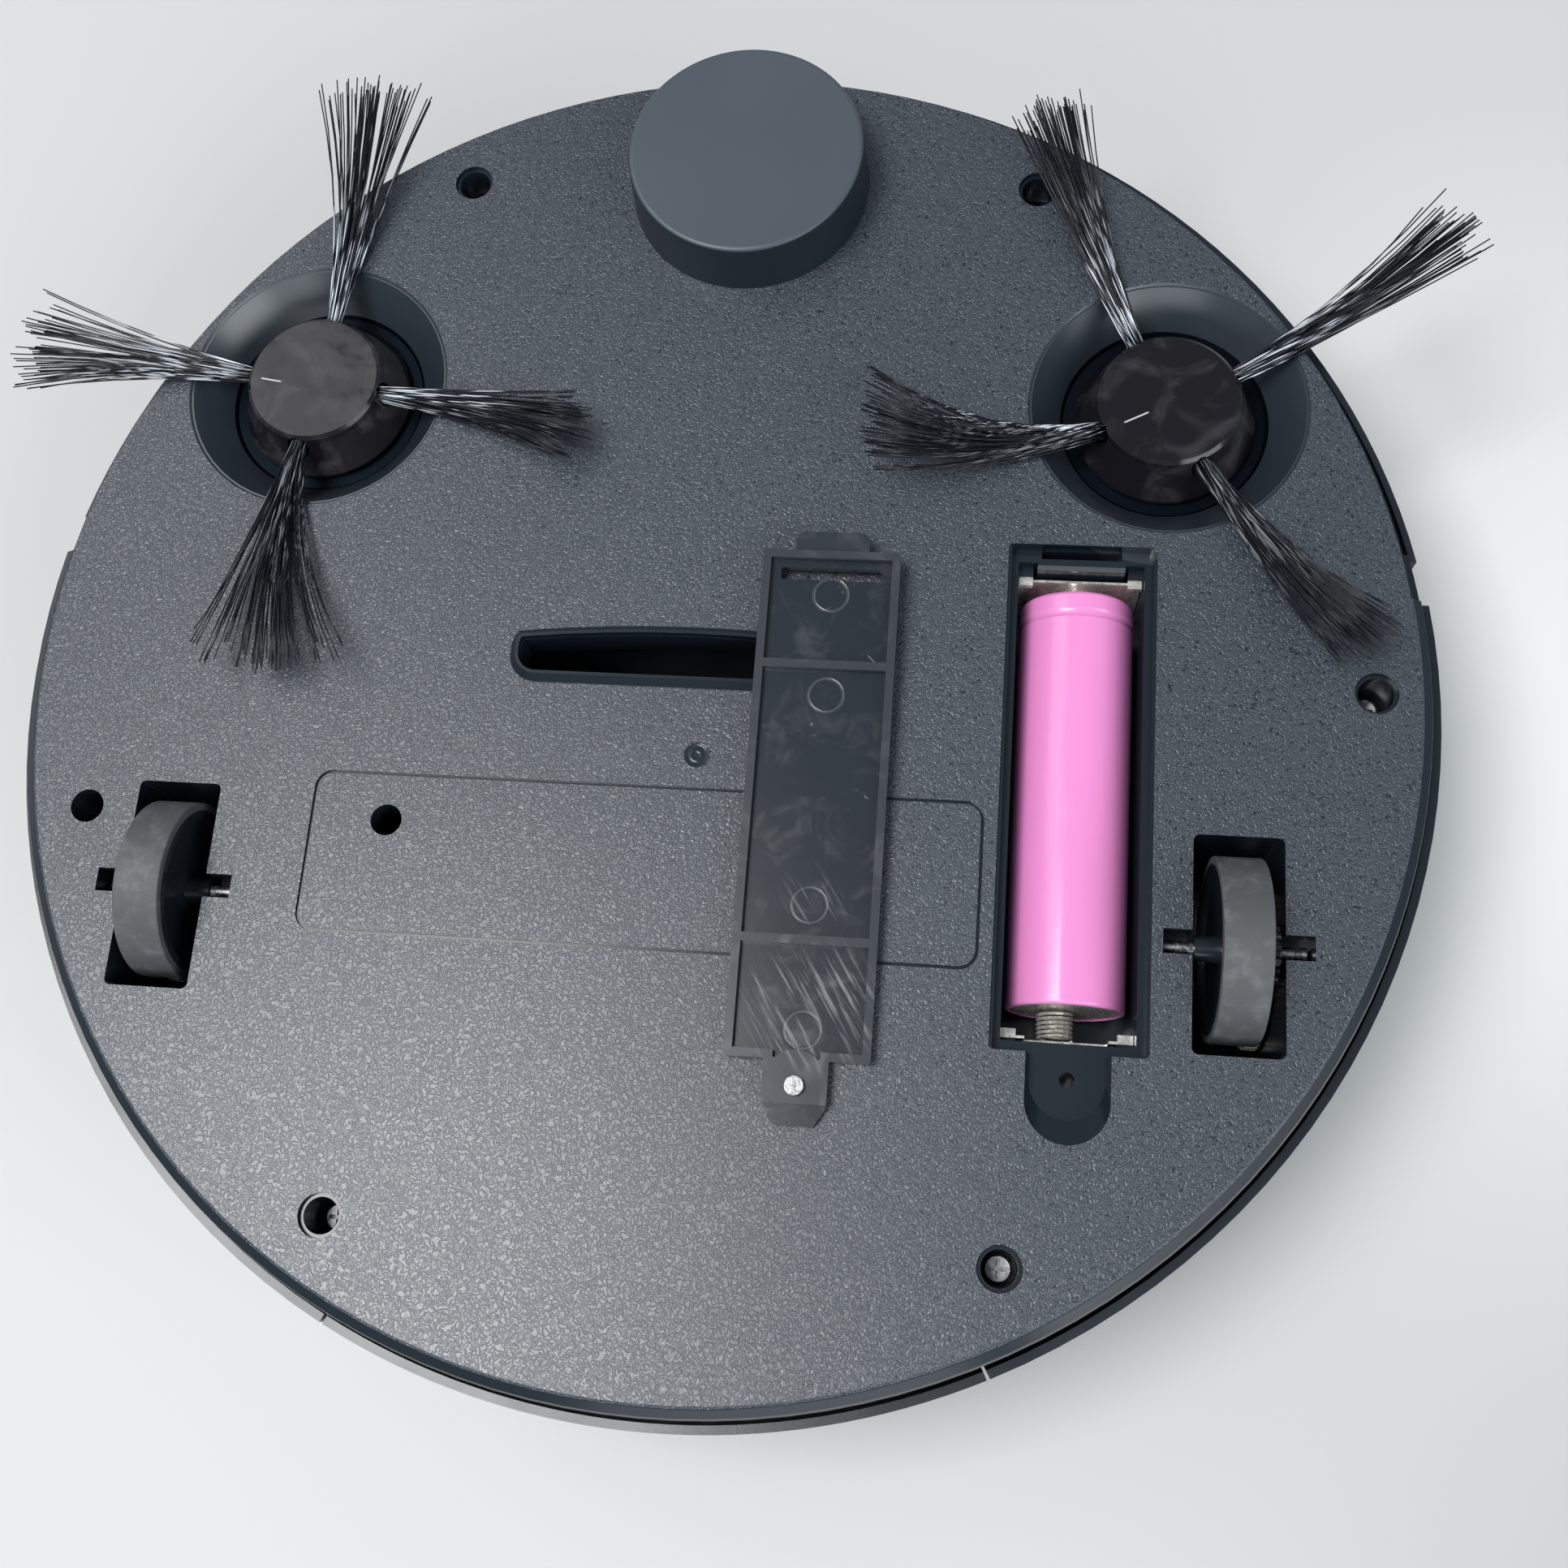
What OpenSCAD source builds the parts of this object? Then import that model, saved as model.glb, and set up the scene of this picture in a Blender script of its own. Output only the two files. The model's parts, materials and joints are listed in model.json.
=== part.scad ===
// Round robot vacuum lying on its back: the top face is down on the XY plane, the underside faces +Z,
// and the front bumper points to +Y. Lengths are in millimetres.

/* [Body] */
// Height from the top face to the underside plate
body_h = 46; // [46:0.5:52]
// Radius of the flat underside plate
plate_r = 110; // [109.6:0.1:110.6]
// Thickness of the moulded walls
wall_t = 2.2; // [2:0.1:2.4]
// How far the outer rim stands outside the plate
rim_step = 3.7; // [3.6:0.1:4]
// Thickness of the outer rim wall
rim_t = 1.3; // [1.1:0.1:1.4]
// Depth of the rim edge below the underside
rim_drop = 5; // [4.6:0.2:6]
// Radius of the rounded edge round the top face
edge_r = 5; // [4:0.5:6]
// How far the smooth band of the rear half stands outside the plate
band_step = 1.6; // [1.2:0.1:1.8]
// Height of the parting plane between the two shells
parting_h = 21; // [20:0.5:23]

/* [Bumper] */
// Travel of the bumper when it is pressed back
bumper_travel = 2.5; // [1.5:0.25:2.5]
// Distance of the bumper's full ring ends in front of the middle
bumper_end_y = 24.6; // [24:0.1:26]
// Distance of the tips of the bumper's arms in front of the middle
arm_tip_y = 17.6; // [17.4:0.1:19]
// How far the arms are set in from the rim
arm_inset = 1.3; // [1.3:0.05:1.4]
// Thickness of the bumper's sliding flange
flange_t = 2; // [1.6:0.1:2.4]

/* [Brushes] */
// Distance of the brush axes in from the plate's edge
brush_inset = 23.9; // [23.6:0.1:25]
// Direction of the brush axes from the middle, in degrees ahead of sideways
brush_angle = 34.2; // [33:0.1:35]
// Radius of the conical brush recess at the underside
recess_r = 22.2; // [21.5:0.1:22.4]
// Radius of the flat floor of the recess
recess_floor_r = 16.4; // [15.6:0.2:18]
// Depth of the recess
recess_depth = 6.5; // [6:0.5:8]
// Radius of the brush hub's top face
hub_r = 11.3; // [10.5:0.1:12]
// Radius of the foot of the hub's cone
hub_foot_r = 14.6; // [13.5:0.1:15]
// Height of the hub's top face above the underside
hub_rise = 2; // [1:0.25:3]
// Distance of the bristle tips from the brush axis
tuft_reach = 53; // [46:1:54]
// Height of the bristle tips above their roots
tuft_lift = 7; // [6:0.5:9]
// Width of the tufts at their tips, as a share of what each one has spread to
tuft_spread = 1; // [0.6:0.05:1.1]
// Thickness of a tuft
tuft_t = 2.6; // [2:0.2:3]
// Turn of the left brush at rest, in degrees
left_brush_turn = -7.5; // [-40:0.5:40]
// Turn of the right brush at rest, in degrees
right_brush_turn = 27; // [-40:0.5:40]

/* [Drive wheels] */
// Distance of the wheel centres in from the plate's edge
wheel_inset = 27.5; // [27.2:0.1:27.8]
// Forward distance of the wheel axles
wheel_y = -39.3; // [-40:0.1:-38.6]
// Radius of the tyres
tyre_r = 14; // [13.4:0.1:14.2]
// Width of the tyres
tyre_w = 7.2; // [6.6:0.1:7.4]
// Thickness of the rubber
tyre_t = 1.2; // [1:0.1:1.8]
// Depth of the wheel axles below the underside
axle_depth = 5; // [4.6:0.1:5.6]
// Radius of the steel wheel axles
axle_r = 1; // [0.9:0.05:1.2]
// Width of the wheel slots
slot_w = 13.4; // [13.2:0.1:13.6]
// Length of the wheel slots
slot_l = 32.8; // [32.4:0.2:33.6]
// Width of the axle notches
notch_w = 3.7; // [3.4:0.1:4]
// Length of an axle from tip to tip
axle_l = 21.4; // [21:0.1:21.6]

/* [Gear train] */
// Module of the teeth
gear_module = 0.6; // [0.58:0.01:0.6]
// Clearance between the drive motors and the floor of the top shell
motor_floor_gap = 1.48; // [1.2:0.02:1.5]
// Teeth on the wheel hub
wheel_teeth = 14; // [14:1:14]
// Teeth on the idler
idler_teeth = 40; // [40:1:40]
// Teeth on the motor pinion
pinion_teeth = 10; // [10:1:10]
// Width of the teeth
gear_w = 2; // [1.8:0.1:2.1]

/* [Battery] */
// Radius of the cell
cell_r = 9.2; // [9:0.05:9.3]
// Length of the cell without its raised cap
cell_l = 66; // [64:0.5:66.5]
// Distance of the battery bay's middle in from the plate's edge
bay_inset = 51.7; // [51.4:0.1:52]
// Forward end of the cover pocket
bay_front_y = 23.3; // [23:0.1:23.6]
// Width of the battery well
well_w = 19.8; // [19.5:0.1:20.2]
// Radius of the contact spring's coil
coil_r = 2.6; // [2.4:0.1:3.4]
// Radius of the contact spring's wire
coil_wire_r = 0.25; // [0.2:0.05:0.35]

/* [Battery cover] */
// Width of the cover
cover_w = 21.7; // [21.3:0.1:21.9]
// Thickness of the cover's outer plate
cover_t = 1.1; // [1:0.05:1.2]
// Height of the rim wall and ribs above the plate
cover_wall_h = 1.25; // [1.1:0.05:1.35]
// Sideways place of the loose cover on the underside
cover_x = 19; // [18:0.5:20]
// Forward place of the loose cover's front edge
cover_front_y = 19.1; // [18.5:0.1:19.5]

/* [Suction mouth] */
// Length of the mouth across the body
mouth_l = 55.4; // [54:0.2:57]
// Sideways place of the mouth's middle
mouth_x = -2.5; // [-3:0.1:-2]
// Forward place of the mouth's straight rear edge
mouth_rear_y = -1.9; // [-2.5:0.1:-1.5]
// Width of the mouth at its middle
mouth_w = 7.2; // [7:0.1:7.6]
// Height of the raised lip
lip_h = 1.4; // [1:0.1:1.6]
// Width of the lip from the opening to the foot of its slope
lip_w = 1.6; // [1.3:0.1:1.8]
// Width of the lip's flat top
lip_top_w = 0.5; // [0.4:0.1:0.7]

/* [Front cap and caster] */
// Distance of the cap and caster in from the plate's edge
cap_inset = 21.3; // [21.1:0.1:21.8]
// Radius of the cap's top
cap_r = 19.8; // [19.6:0.1:20]
// Height of the cap
cap_h = 10; // [9.9:0.1:11]
// Radius of the caster wheel
caster_r = 7; // [6.6:0.1:7.1]
// Width of the caster wheel
caster_w = 7; // [6:0.5:8]
// How far the caster wheel trails behind its swivel
caster_trail = 3; // [2:0.5:3]

/* [Dust box and fan] */
// Clearance between the dust box and the battery bay
box_side_gap = 2.8; // [2.5:0.1:4]
// How far the dust box's face reaches past the box at each end
face_overhang = 5.6; // [5.3:0.1:5.8]
// Gap between the impeller's housing and the floor of the top shell
fan_floor_gap = 1.6; // [1.3:0.1:4]
// Blades on the impeller
impeller_blades = 9; // [7:1:11]

/* [Fasteners and switches] */
// Radius of the screw shanks
screw_r = 1.4; // [1.2:0.05:1.5]
// Radius of the screw heads
screw_head_r = 2.5; // [2.3:0.05:2.6]
// Radius of the counterbored screw wells
screw_well_r = 3.3; // [3.1:0.1:3.5]
// Radius of the power button
button_r = 8; // [7:0.25:8.5]
// Travel of the power button
button_travel = 0.8; // [0.5:0.1:0.8]

/* [Hidden] */
$fn = 96;
eps = 0.01;
seat_gap = 0.05;          // running clearance round shafts and pins
slide_gap = 0.1;          // clearance under sliding faces
far = 300;                // longer than any cut needs to be

plastic = "#2b2e31";
dark_plastic = "#1d1f22";
steel = "#b9bcbf";
brass = "#b08d45";

// Body
brush_x = (plate_r - brush_inset) * cos(brush_angle);
brush_y = (plate_r - brush_inset) * sin(brush_angle);
wheel_x = plate_r - wheel_inset;
bay_x = plate_r - bay_inset;
cap_y = plate_r - cap_inset;
rim_r = plate_r + rim_step;
rim_in_r = rim_r - rim_t;
rim_top_h = body_h - rim_drop;
band_r = plate_r + band_step;
front_wall_r = rim_in_r - bumper_travel - 1.2;
plate_under = body_h - wall_t;
skirt_in_r = band_r - wall_t;
plate_recess = 1.25;      // how far the plate's edge steps in beside the bumper's arms
rim_shoulder_y = arm_tip_y - 0.3;
band_front_y = rim_shoulder_y - 1;

// Front socket and cap
socket_r = 13.2;
socket_depth = 9;
spindle_r = 2.5;
spindle_l = 6;
cap_wall = 1.4;
cap_ceiling = 1.3;
cap_spigot_t = 1.2;
cap_spigot_h = 1.8;
cap_spigot_r = cap_r - cap_wall;

// Wheels and gear train
axle_h = body_h - axle_depth;
addendum = 0.65;
dedendum = 1.15;
mesh_slack = 0.06;
motor_w = 12;
motor_h = 10;
motor_l = 22;
motor_box_l = 9;
wheel_idler_gap = gear_module * (wheel_teeth + idler_teeth) / 2 + mesh_slack;
idler_pinion_gap = gear_module * (idler_teeth + pinion_teeth) / 2 + mesh_slack;
idler_h = axle_h - wheel_idler_gap;
// the pinion leans forward from under the idler in a body too low for the whole train
pinion_lowest_h = wall_t + motor_floor_gap + motor_w / 2;
pinion_lean = acos(min(1, (idler_h - pinion_lowest_h) / idler_pinion_gap));
pinion_h = idler_h - idler_pinion_gap * cos(pinion_lean);
pinion_y = wheel_y + idler_pinion_gap * sin(pinion_lean);
gear_x = wheel_x + tyre_w / 2 + 0.6;
well_wall = 1.6;
well_floor_h = pinion_h - gear_module * (pinion_teeth / 2 + addendum) - 0.5;
slot_in_x = wheel_x - slot_w / 2;
slot_out_x = wheel_x + slot_w / 2;
idler_pin_r = 1;
pinion_shaft_r = 1;

// Battery bay
cover_l = cell_l + 13.6;
well_l = cell_l + 10.2;
ledge_depth = cover_t + cover_wall_h + 0.05;
ledge_h = body_h - ledge_depth;
pocket_w = cover_w + 0.5;
pocket_l = cover_l + 0.5;
pocket_chamfer = 0.5;
bay_wall = 1.6;
bay_mid_y = bay_front_y - pocket_l / 2;
well_rear_y = bay_front_y - pocket_l + 1.7;
well_front_y = well_rear_y + well_l;
cell_h = ledge_h - 0.3 - cell_r;
well_bottom = cell_h - cell_r - slide_gap;
contact_t = 0.4;
contact_y = well_front_y - 1.6;
dimple_l = 1.1;
dimple_r = 2.2;
terminal_l = 1.1;
wrap_edge = 0.9;          // width of the wrap turned in over the cell's flat end
terminal_r = 3.2;
cell_front_y = contact_y - contact_t - dimple_l - seat_gap - terminal_l;
cell_rear_y = cell_front_y - cell_l;
coil_rear_y = well_rear_y + 1.05 + contact_t / 2;
coil_l = cell_rear_y - coil_rear_y - 2 * seat_gap;
coil_turns = 6;
latch_slot_w = 12.6;
latch_slot_l = 1.5;
tongue_w = 9.6;
tongue_l = 6.5;
recess_tongue_w = 11.2;
recess_tongue_l = 13.1;
scoop_floor_r = 5.5;
scoop_top_r = 6.2;
scoop_run = 3.3;          // how far its round end moves back between floor and plate
scoop_edge = 0.3;         // upright edge at the plate
cover_screw_out = 3.8;    // distance of the screw behind the cover's rear edge
screw_hole_y = bay_front_y - pocket_l + 0.25 - cover_screw_out;
pilot_r = 1.12;
pilot_depth = 7;

// Cover lying on the mouth's lip and on the plate
tab_w = 11.6;
tab_l = 3.4;
cover_rim_w = 1.3;
tongue_end_l = 9.4;
tongue_end_w = 6;
cover_tilt = asin(lip_h / (cover_l - cover_front_y + mouth_rear_y - lip_top_w + tongue_end_l));

// Mouth
mouth_end_r = 3;
mouth_bow = 1.7;          // how far the front edge bows forward over the mouth's length
mouth_arc_r = (pow(mouth_l / 2, 2) + pow(mouth_bow, 2)) / (2 * mouth_bow);
mouth_front_y = mouth_rear_y + mouth_w;

// Dust box
box_half_w = bay_x - well_w / 2 - bay_wall - 1 - box_side_gap;
box_face_angle = asin((box_half_w + face_overhang) / rim_r);
box_floor_h = wall_t + slide_gap;
lid_t = 1.8;
face_t = 5.5;
box_top_h = plate_under - 3.2;
box_wall = 1.8;
box_front_y = 16;
duct_bottom = box_top_h + 0.4;

// Fan, its axis along Y
fan_h = (box_floor_h + box_top_h) / 2;
fan_case_r = fan_h - wall_t - fan_floor_gap;
impeller_r = fan_case_r - 2.6;
fan_case_l = 15;
fan_y = box_front_y + 0.4;
fan_eye_r = 8.5;
fan_motor_r = 11.5;
fan_motor_l = 18;
filter_w = 30;
filter_h = 26;
filter_t = 5;

// Screws: front pair, rear pair and the one at the right
function inside_edge(inset, angle) = [(plate_r - inset) * cos(angle), (plate_r - inset) * sin(angle)];

rear_screw_x = box_half_w + 6.6;
rear_screw_y = -sqrt(pow(plate_r - 9.4, 2) - pow(rear_screw_x, 2));
screw_places = [
    inside_edge(8.9, 119), inside_edge(8.9, 61), inside_edge(7.1, 0.3),
    [-rear_screw_x, rear_screw_y], [rear_screw_x, rear_screw_y]
];
empty_screw_place = inside_edge(8.8, 195.8);
vent_hole_place = [-box_half_w - 5.2, -27.3];
switch_w = 7;
switch_l = 6;
switch_h = 6;
boss_r = screw_well_r + 1.3;
head_seat_h = body_h - 10;
head_h = 1.7;
screw_tip_h = 10;

// Power button, circuit board, bumper switches and charging socket
switch_x = 36;
switch_y = front_wall_r - 14.4;
button_y = cap_y - 16.7;
board_h = 8;
board_t = 1.6;
board_w = 52;
board_l = 24;
button_flange_t = 1;
socket_y = -6;
socket_h = 12;

module mirrored(side) {
    mirror([side < 0 ? 1 : 0, 0, 0]) children();
}

module ring(r_out, r_in, h) {
    difference() {
        cylinder(h = h, r = r_out);
        translate([0, 0, -1]) cylinder(h = h + 2, r = r_in);
    }
}

module round_rect(w, l, r) {
    square([w - 2 * r, l], center = true);
    square([w, l - 2 * r], center = true);
    for (x = [-1, 1], y = [-1, 1])
        translate([x * (w / 2 - r), y * (l / 2 - r)]) circle(r, $fn = 32);
}

module block(w, l, h, r = 0) {
    if (r > 0) linear_extrude(h) round_rect(w, l, r);
    else translate([-w / 2, -l / 2, 0]) cube([w, l, h]);
}

module in_front_of(y) {
    translate([-far / 2, y, -far / 2]) cube([far, far, far]);
}

module behind(y) {
    translate([-far / 2, y - far, -far / 2]) cube([far, far, far]);
}

// Wedge that holds the dust box's face, as seen along Z
module face_sector(half_angle) {
    reach = 1.3 * plate_r;
    translate([0, 0, -1]) linear_extrude(body_h + 2) polygon([
        [0, 0],
        [-reach * tan(half_angle), -reach],
        [reach * tan(half_angle), -reach]
    ]);
}

// ---- Shells ----

module rim_profile(bottom, inner_r, top) {
    intersection() {
        union() {
            square([rim_r - edge_r, rim_top_h]);
            translate([0, edge_r]) square([rim_r, rim_top_h - edge_r]);
            translate([rim_r - edge_r, edge_r]) circle(edge_r, $fn = 64);
        }
        translate([inner_r, bottom]) square([far, top - bottom]);
    }
}

module plate_revolve() {
    // Front half: thin plate edge over a set-in wall. Rear half: rounded band flush with the skirt.
    difference() {
        rotate_extrude() {
            translate([0, plate_under]) square([plate_r, wall_t - 0.4]);
            translate([0, plate_under]) square([plate_r - 0.4, wall_t]);
            translate([front_wall_r - wall_t, parting_h + flange_t / 2 + slide_gap])
                square([wall_t, plate_under - parting_h - flange_t / 2]);
        }
        behind(band_front_y - eps);
    }
    difference() {
        rotate_extrude() {
            polygon([
                [0, plate_under], [skirt_in_r, plate_under], [skirt_in_r, parting_h], [band_r, parting_h],
                [band_r, body_h - 1.9], [band_r - 0.35, body_h - 0.95], [plate_r, body_h - 0.15],
                [plate_r - 0.5, body_h], [0, body_h]
            ]);
        }
        in_front_of(band_front_y - eps);
        // room for the arms of the pressed bumper under the plate
        difference() {
            intersection() {
                in_front_of(band_front_y - bumper_travel);
                translate([0, 0, -1]) cylinder(h = rim_top_h + 1.5, r = far / 2);
            }
            translate([0, 0, -2]) cylinder(h = far, r = front_wall_r);
        }
        // opening over the dust box
        intersection() {
            face_sector(box_face_angle + 1);
            translate([0, 0, -1]) cylinder(h = duct_bottom + 1, r = far / 2);
        }
    }
    // wall that joins the rear skirt to the front wall
    difference() {
        intersection() {
            translate([0, 0, parting_h])
                ring(front_wall_r, front_wall_r - wall_t, plate_under - parting_h + eps);
            in_front_of(band_front_y - bumper_travel - 2.2);
        }
        in_front_of(band_front_y);
    }
    difference() {
        intersection() {
            translate([0, 0, parting_h])
                ring(skirt_in_r + eps, front_wall_r - wall_t, plate_under - parting_h + eps);
            in_front_of(band_front_y - bumper_travel - 2.2);
        }
        in_front_of(band_front_y - bumper_travel);
    }
}

module brush_bowl_solid() {
    translate([0, 0, body_h - recess_depth - wall_t])
        cylinder(h = recess_depth + wall_t - 0.4, r1 = recess_floor_r + 0.8, r2 = recess_r + 0.6);
}

module brush_bowl_cut() {
    translate([0, 0, body_h - recess_depth])
        cylinder(h = recess_depth, r1 = recess_floor_r, r2 = recess_r);
    // broken edge at the plate
    translate([0, 0, body_h - 0.35]) cylinder(h = 1, r1 = recess_r - 0.02, r2 = recess_r + 0.98);
    translate([0, 0, body_h - recess_depth - far / 2]) cylinder(h = far, r = 3);
}

module wheel_well_solid() {
    translate([wheel_x, wheel_y, well_floor_h - well_wall])
        block(slot_w + 2 * well_wall, slot_l + 2 * well_wall, plate_under - well_floor_h + well_wall + eps);
    translate([wheel_x, wheel_y, axle_h - axle_r - 2.4])
        block(axle_l + 3.4, notch_w + 3.2, axle_depth + axle_r + 2.4 - wall_t + eps);
}

module wheel_well_cut() {
    translate([wheel_x, wheel_y, well_floor_h]) block(slot_w, slot_l, far, 1);
    translate([wheel_x, wheel_y, axle_h - axle_r - seat_gap]) block(axle_l + 0.5, notch_w, far);
    // seat of the idler pin and way of the motor's shaft
    translate([slot_in_x - well_wall - 1, wheel_y, idler_h]) rotate([0, 90, 0])
        cylinder(h = slot_w + 2 * well_wall + 2, r = idler_pin_r + 0.02);
    translate([slot_in_x - well_wall - 1, pinion_y, pinion_h]) rotate([0, 90, 0])
        cylinder(h = well_wall + 2, r = pinion_shaft_r + 0.3);
}

module idler_post() {
    translate([slot_in_x - eps, wheel_y, idler_h]) rotate([0, 90, 0])
        difference() {
            cylinder(h = gear_x - slot_in_x - 0.7, r = idler_pin_r + 0.9);
            translate([0, 0, -1]) cylinder(h = slot_w, r = idler_pin_r + 0.02);
        }
}

module bay_solid() {
    translate([bay_x, bay_mid_y, well_bottom - bay_wall])
        block(well_w + 2 * bay_wall + 2, pocket_l + 2 * bay_wall, plate_under - well_bottom + bay_wall + eps);
    translate([bay_x, screw_hole_y - 1.5, ledge_h - pilot_depth - 1.6])
        block(recess_tongue_w + 2 * bay_wall, recess_tongue_l + 3, pilot_depth + 1.6);
}

// Layer of the fingertip recess: a disc joined to the cover's pocket
module scoop_layer(r, h) {
    cylinder(h = h, r = r);
    translate([-r, 0, 0]) cube([2 * r, scoop_run + 4, h]);
}

module bay_cut() {
    // well for the cell
    translate([bay_x, (well_rear_y + well_front_y) / 2, well_bottom]) block(well_w, well_l, far);
    // pocket for the cover, with a bevelled mouth
    translate([bay_x, bay_mid_y, ledge_h]) block(pocket_w, pocket_l, far, 0.6);
    translate([bay_x, bay_mid_y, body_h - pocket_chamfer])
        linear_extrude(far) round_rect(pocket_w + 2 * pocket_chamfer, pocket_l, 0.8);
    // latch slot for the cover's tab
    translate([bay_x, bay_front_y - latch_slot_l / 2, ledge_h - 5]) block(latch_slot_w, latch_slot_l, far);
    translate([bay_x, bay_front_y + tab_l / 2 - 0.2, ledge_h - 0.4])
        block(tab_w + 0.6, tab_l + 0.8, ledge_depth - 0.4);
    // recess for the screw tongue, sloping up to a round end for a fingertip
    hull() {
        translate([bay_x, screw_hole_y, ledge_h]) scoop_layer(scoop_floor_r, eps);
        translate([bay_x, screw_hole_y - scoop_run, body_h - scoop_edge]) scoop_layer(scoop_top_r, eps);
    }
    translate([bay_x, screw_hole_y - scoop_run, body_h - scoop_edge]) scoop_layer(scoop_top_r, far);
    translate([bay_x, screw_hole_y, ledge_h - pilot_depth]) cylinder(h = far, r = pilot_r);
}

module contact_ribs() {
    for (s = [-1, 1]) {
        translate([bay_x + s * (well_w / 2 - 1.2), (contact_y + well_front_y) / 2, well_bottom - eps])
            block(2.4 + 2 * eps, well_front_y - contact_y, 17);
        translate([bay_x + s * (well_w / 2 - 1.2), well_rear_y + 0.42, well_bottom - eps])
            block(2.4 + 2 * eps, 0.86, 15);
    }
}

// Bevelled bar behind the latch slot
module latch_bar() {
    bar_w = latch_slot_w + 1.2;
    bar_l = 1.7;
    translate([bay_x - bar_w / 2, bay_front_y - latch_slot_l, ledge_h]) rotate([90, 0, 90])
        linear_extrude(bar_w) polygon([
            [-bar_l, -5], [-bar_l, -0.6], [0.6 - bar_l, 0], [0, 0], [0, -5]
        ]);
}

module mouth_shape(grow) {
    intersection() {
        translate([mouth_x, mouth_rear_y + mouth_w / 2])
            round_rect(mouth_l + 2 * grow, mouth_w + 2 * grow, mouth_end_r + grow);
        translate([mouth_x, mouth_front_y - mouth_arc_r]) circle(mouth_arc_r + grow, $fn = 360);
    }
}

module mouth_lip_solid() {
    hull() {
        translate([0, 0, plate_under]) linear_extrude(wall_t) mouth_shape(lip_w);
        translate([0, 0, plate_under]) linear_extrude(wall_t + lip_h) mouth_shape(lip_top_w);
    }
    translate([0, 0, duct_bottom]) linear_extrude(plate_under - duct_bottom + eps) mouth_shape(1.6);
}

module caster_socket_solid() {
    translate([0, cap_y, body_h - socket_depth - wall_t]) cylinder(h = socket_depth, r = socket_r + 1.8);
    translate([0, cap_y, body_h - socket_depth - spindle_l - 0.5]) cylinder(h = spindle_l, r = spindle_r + 2);
    translate([0, cap_y, plate_under - 2]) ring(cap_r, socket_r, 2 + eps);
}

module caster_socket_cut() {
    translate([0, cap_y, body_h - socket_depth]) cylinder(h = far, r = socket_r);
    translate([0, cap_y, 0]) cylinder(h = far, r = spindle_r + seat_gap);
    translate([0, cap_y, body_h - cap_spigot_h - 0.2])
        ring(cap_spigot_r + seat_gap, cap_spigot_r - cap_spigot_t - seat_gap, far);
}

module screw_well(place) {
    translate([place[0], place[1], 0]) {
        translate([0, 0, body_h - 0.8]) cylinder(h = far, r = screw_well_r);
        translate([0, 0, head_seat_h]) cylinder(h = far, r = screw_head_r + 0.2);
        cylinder(h = far, r = screw_r + 0.3);
    }
}

module label_groove() {
    left = 49.5 - plate_r;
    right = bay_x - 13.6;
    w = right - left;
    l = 25.9;
    translate([(left + right) / 2, -32.5, body_h - 0.4]) linear_extrude(far) difference() {
        round_rect(w, l, 3);
        round_rect(w - 1, l - 1, 2.5);
    }
}

module plate_notches() {
    // stepped-in edge of the plate beside the bumper's arms
    translate([0, 0, plate_under - far / 2]) difference() {
        intersection() {
            ring(far / 2, plate_r - plate_recess, far);
            difference() {
                in_front_of(band_front_y);
                in_front_of(bumper_end_y + 2.2);
            }
        }
    }
}

module base_shell() {
    color(plastic) difference() {
        union() {
            difference() {
                union() {
                    plate_revolve();
                    for (s = [-1, 1]) mirrored(s) {
                        translate([brush_x, brush_y, 0]) brush_bowl_solid();
                        wheel_well_solid();
                    }
                    bay_solid();
                    mouth_lip_solid();
                    caster_socket_solid();
                    for (p = concat(screw_places, [empty_screw_place])) translate([p[0], p[1], 0]) {
                        translate([0, 0, parting_h]) cylinder(h = plate_under - parting_h, r = boss_r - 0.8);
                        translate([0, 0, head_seat_h - 4])
                            cylinder(h = plate_under - head_seat_h + 4 + eps, r = boss_r);
                    }
                    for (s = [-1, 1]) translate([s * spring_x, spring_cup_y, spring_h]) rotate([-90, 0, 0])
                        cylinder(h = front_wall_r * cos(15) - spring_cup_y, r = spring_r + 2);
                    translate([vent_hole_place[0], vent_hole_place[1], plate_under - 6])
                        cylinder(h = 6 + eps, r = 4);
                }
                for (s = [-1, 1]) mirrored(s) {
                    translate([brush_x, brush_y, 0]) brush_bowl_cut();
                    wheel_well_cut();
                }
                bay_cut();
                for (s = [-1, 1]) translate([s * spring_x, spring_cup_y + 1.6, spring_h]) rotate([-90, 0, 0])
                    cylinder(h = far, r = spring_r + 0.4);
                translate([0, 0, -1]) linear_extrude(far) mouth_shape(0);
                caster_socket_cut();
                for (p = screw_places) screw_well(p);
                translate([empty_screw_place[0], empty_screw_place[1], head_seat_h])
                    cylinder(h = far, r = 2.7);
                translate([vent_hole_place[0], vent_hole_place[1], 0]) cylinder(h = far, r = 2.5);
                label_groove();
            }
            for (s = [-1, 1]) mirrored(s) idler_post();
            contact_ribs();
            latch_bar();
        }
        plate_notches();
    }
}

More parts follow.
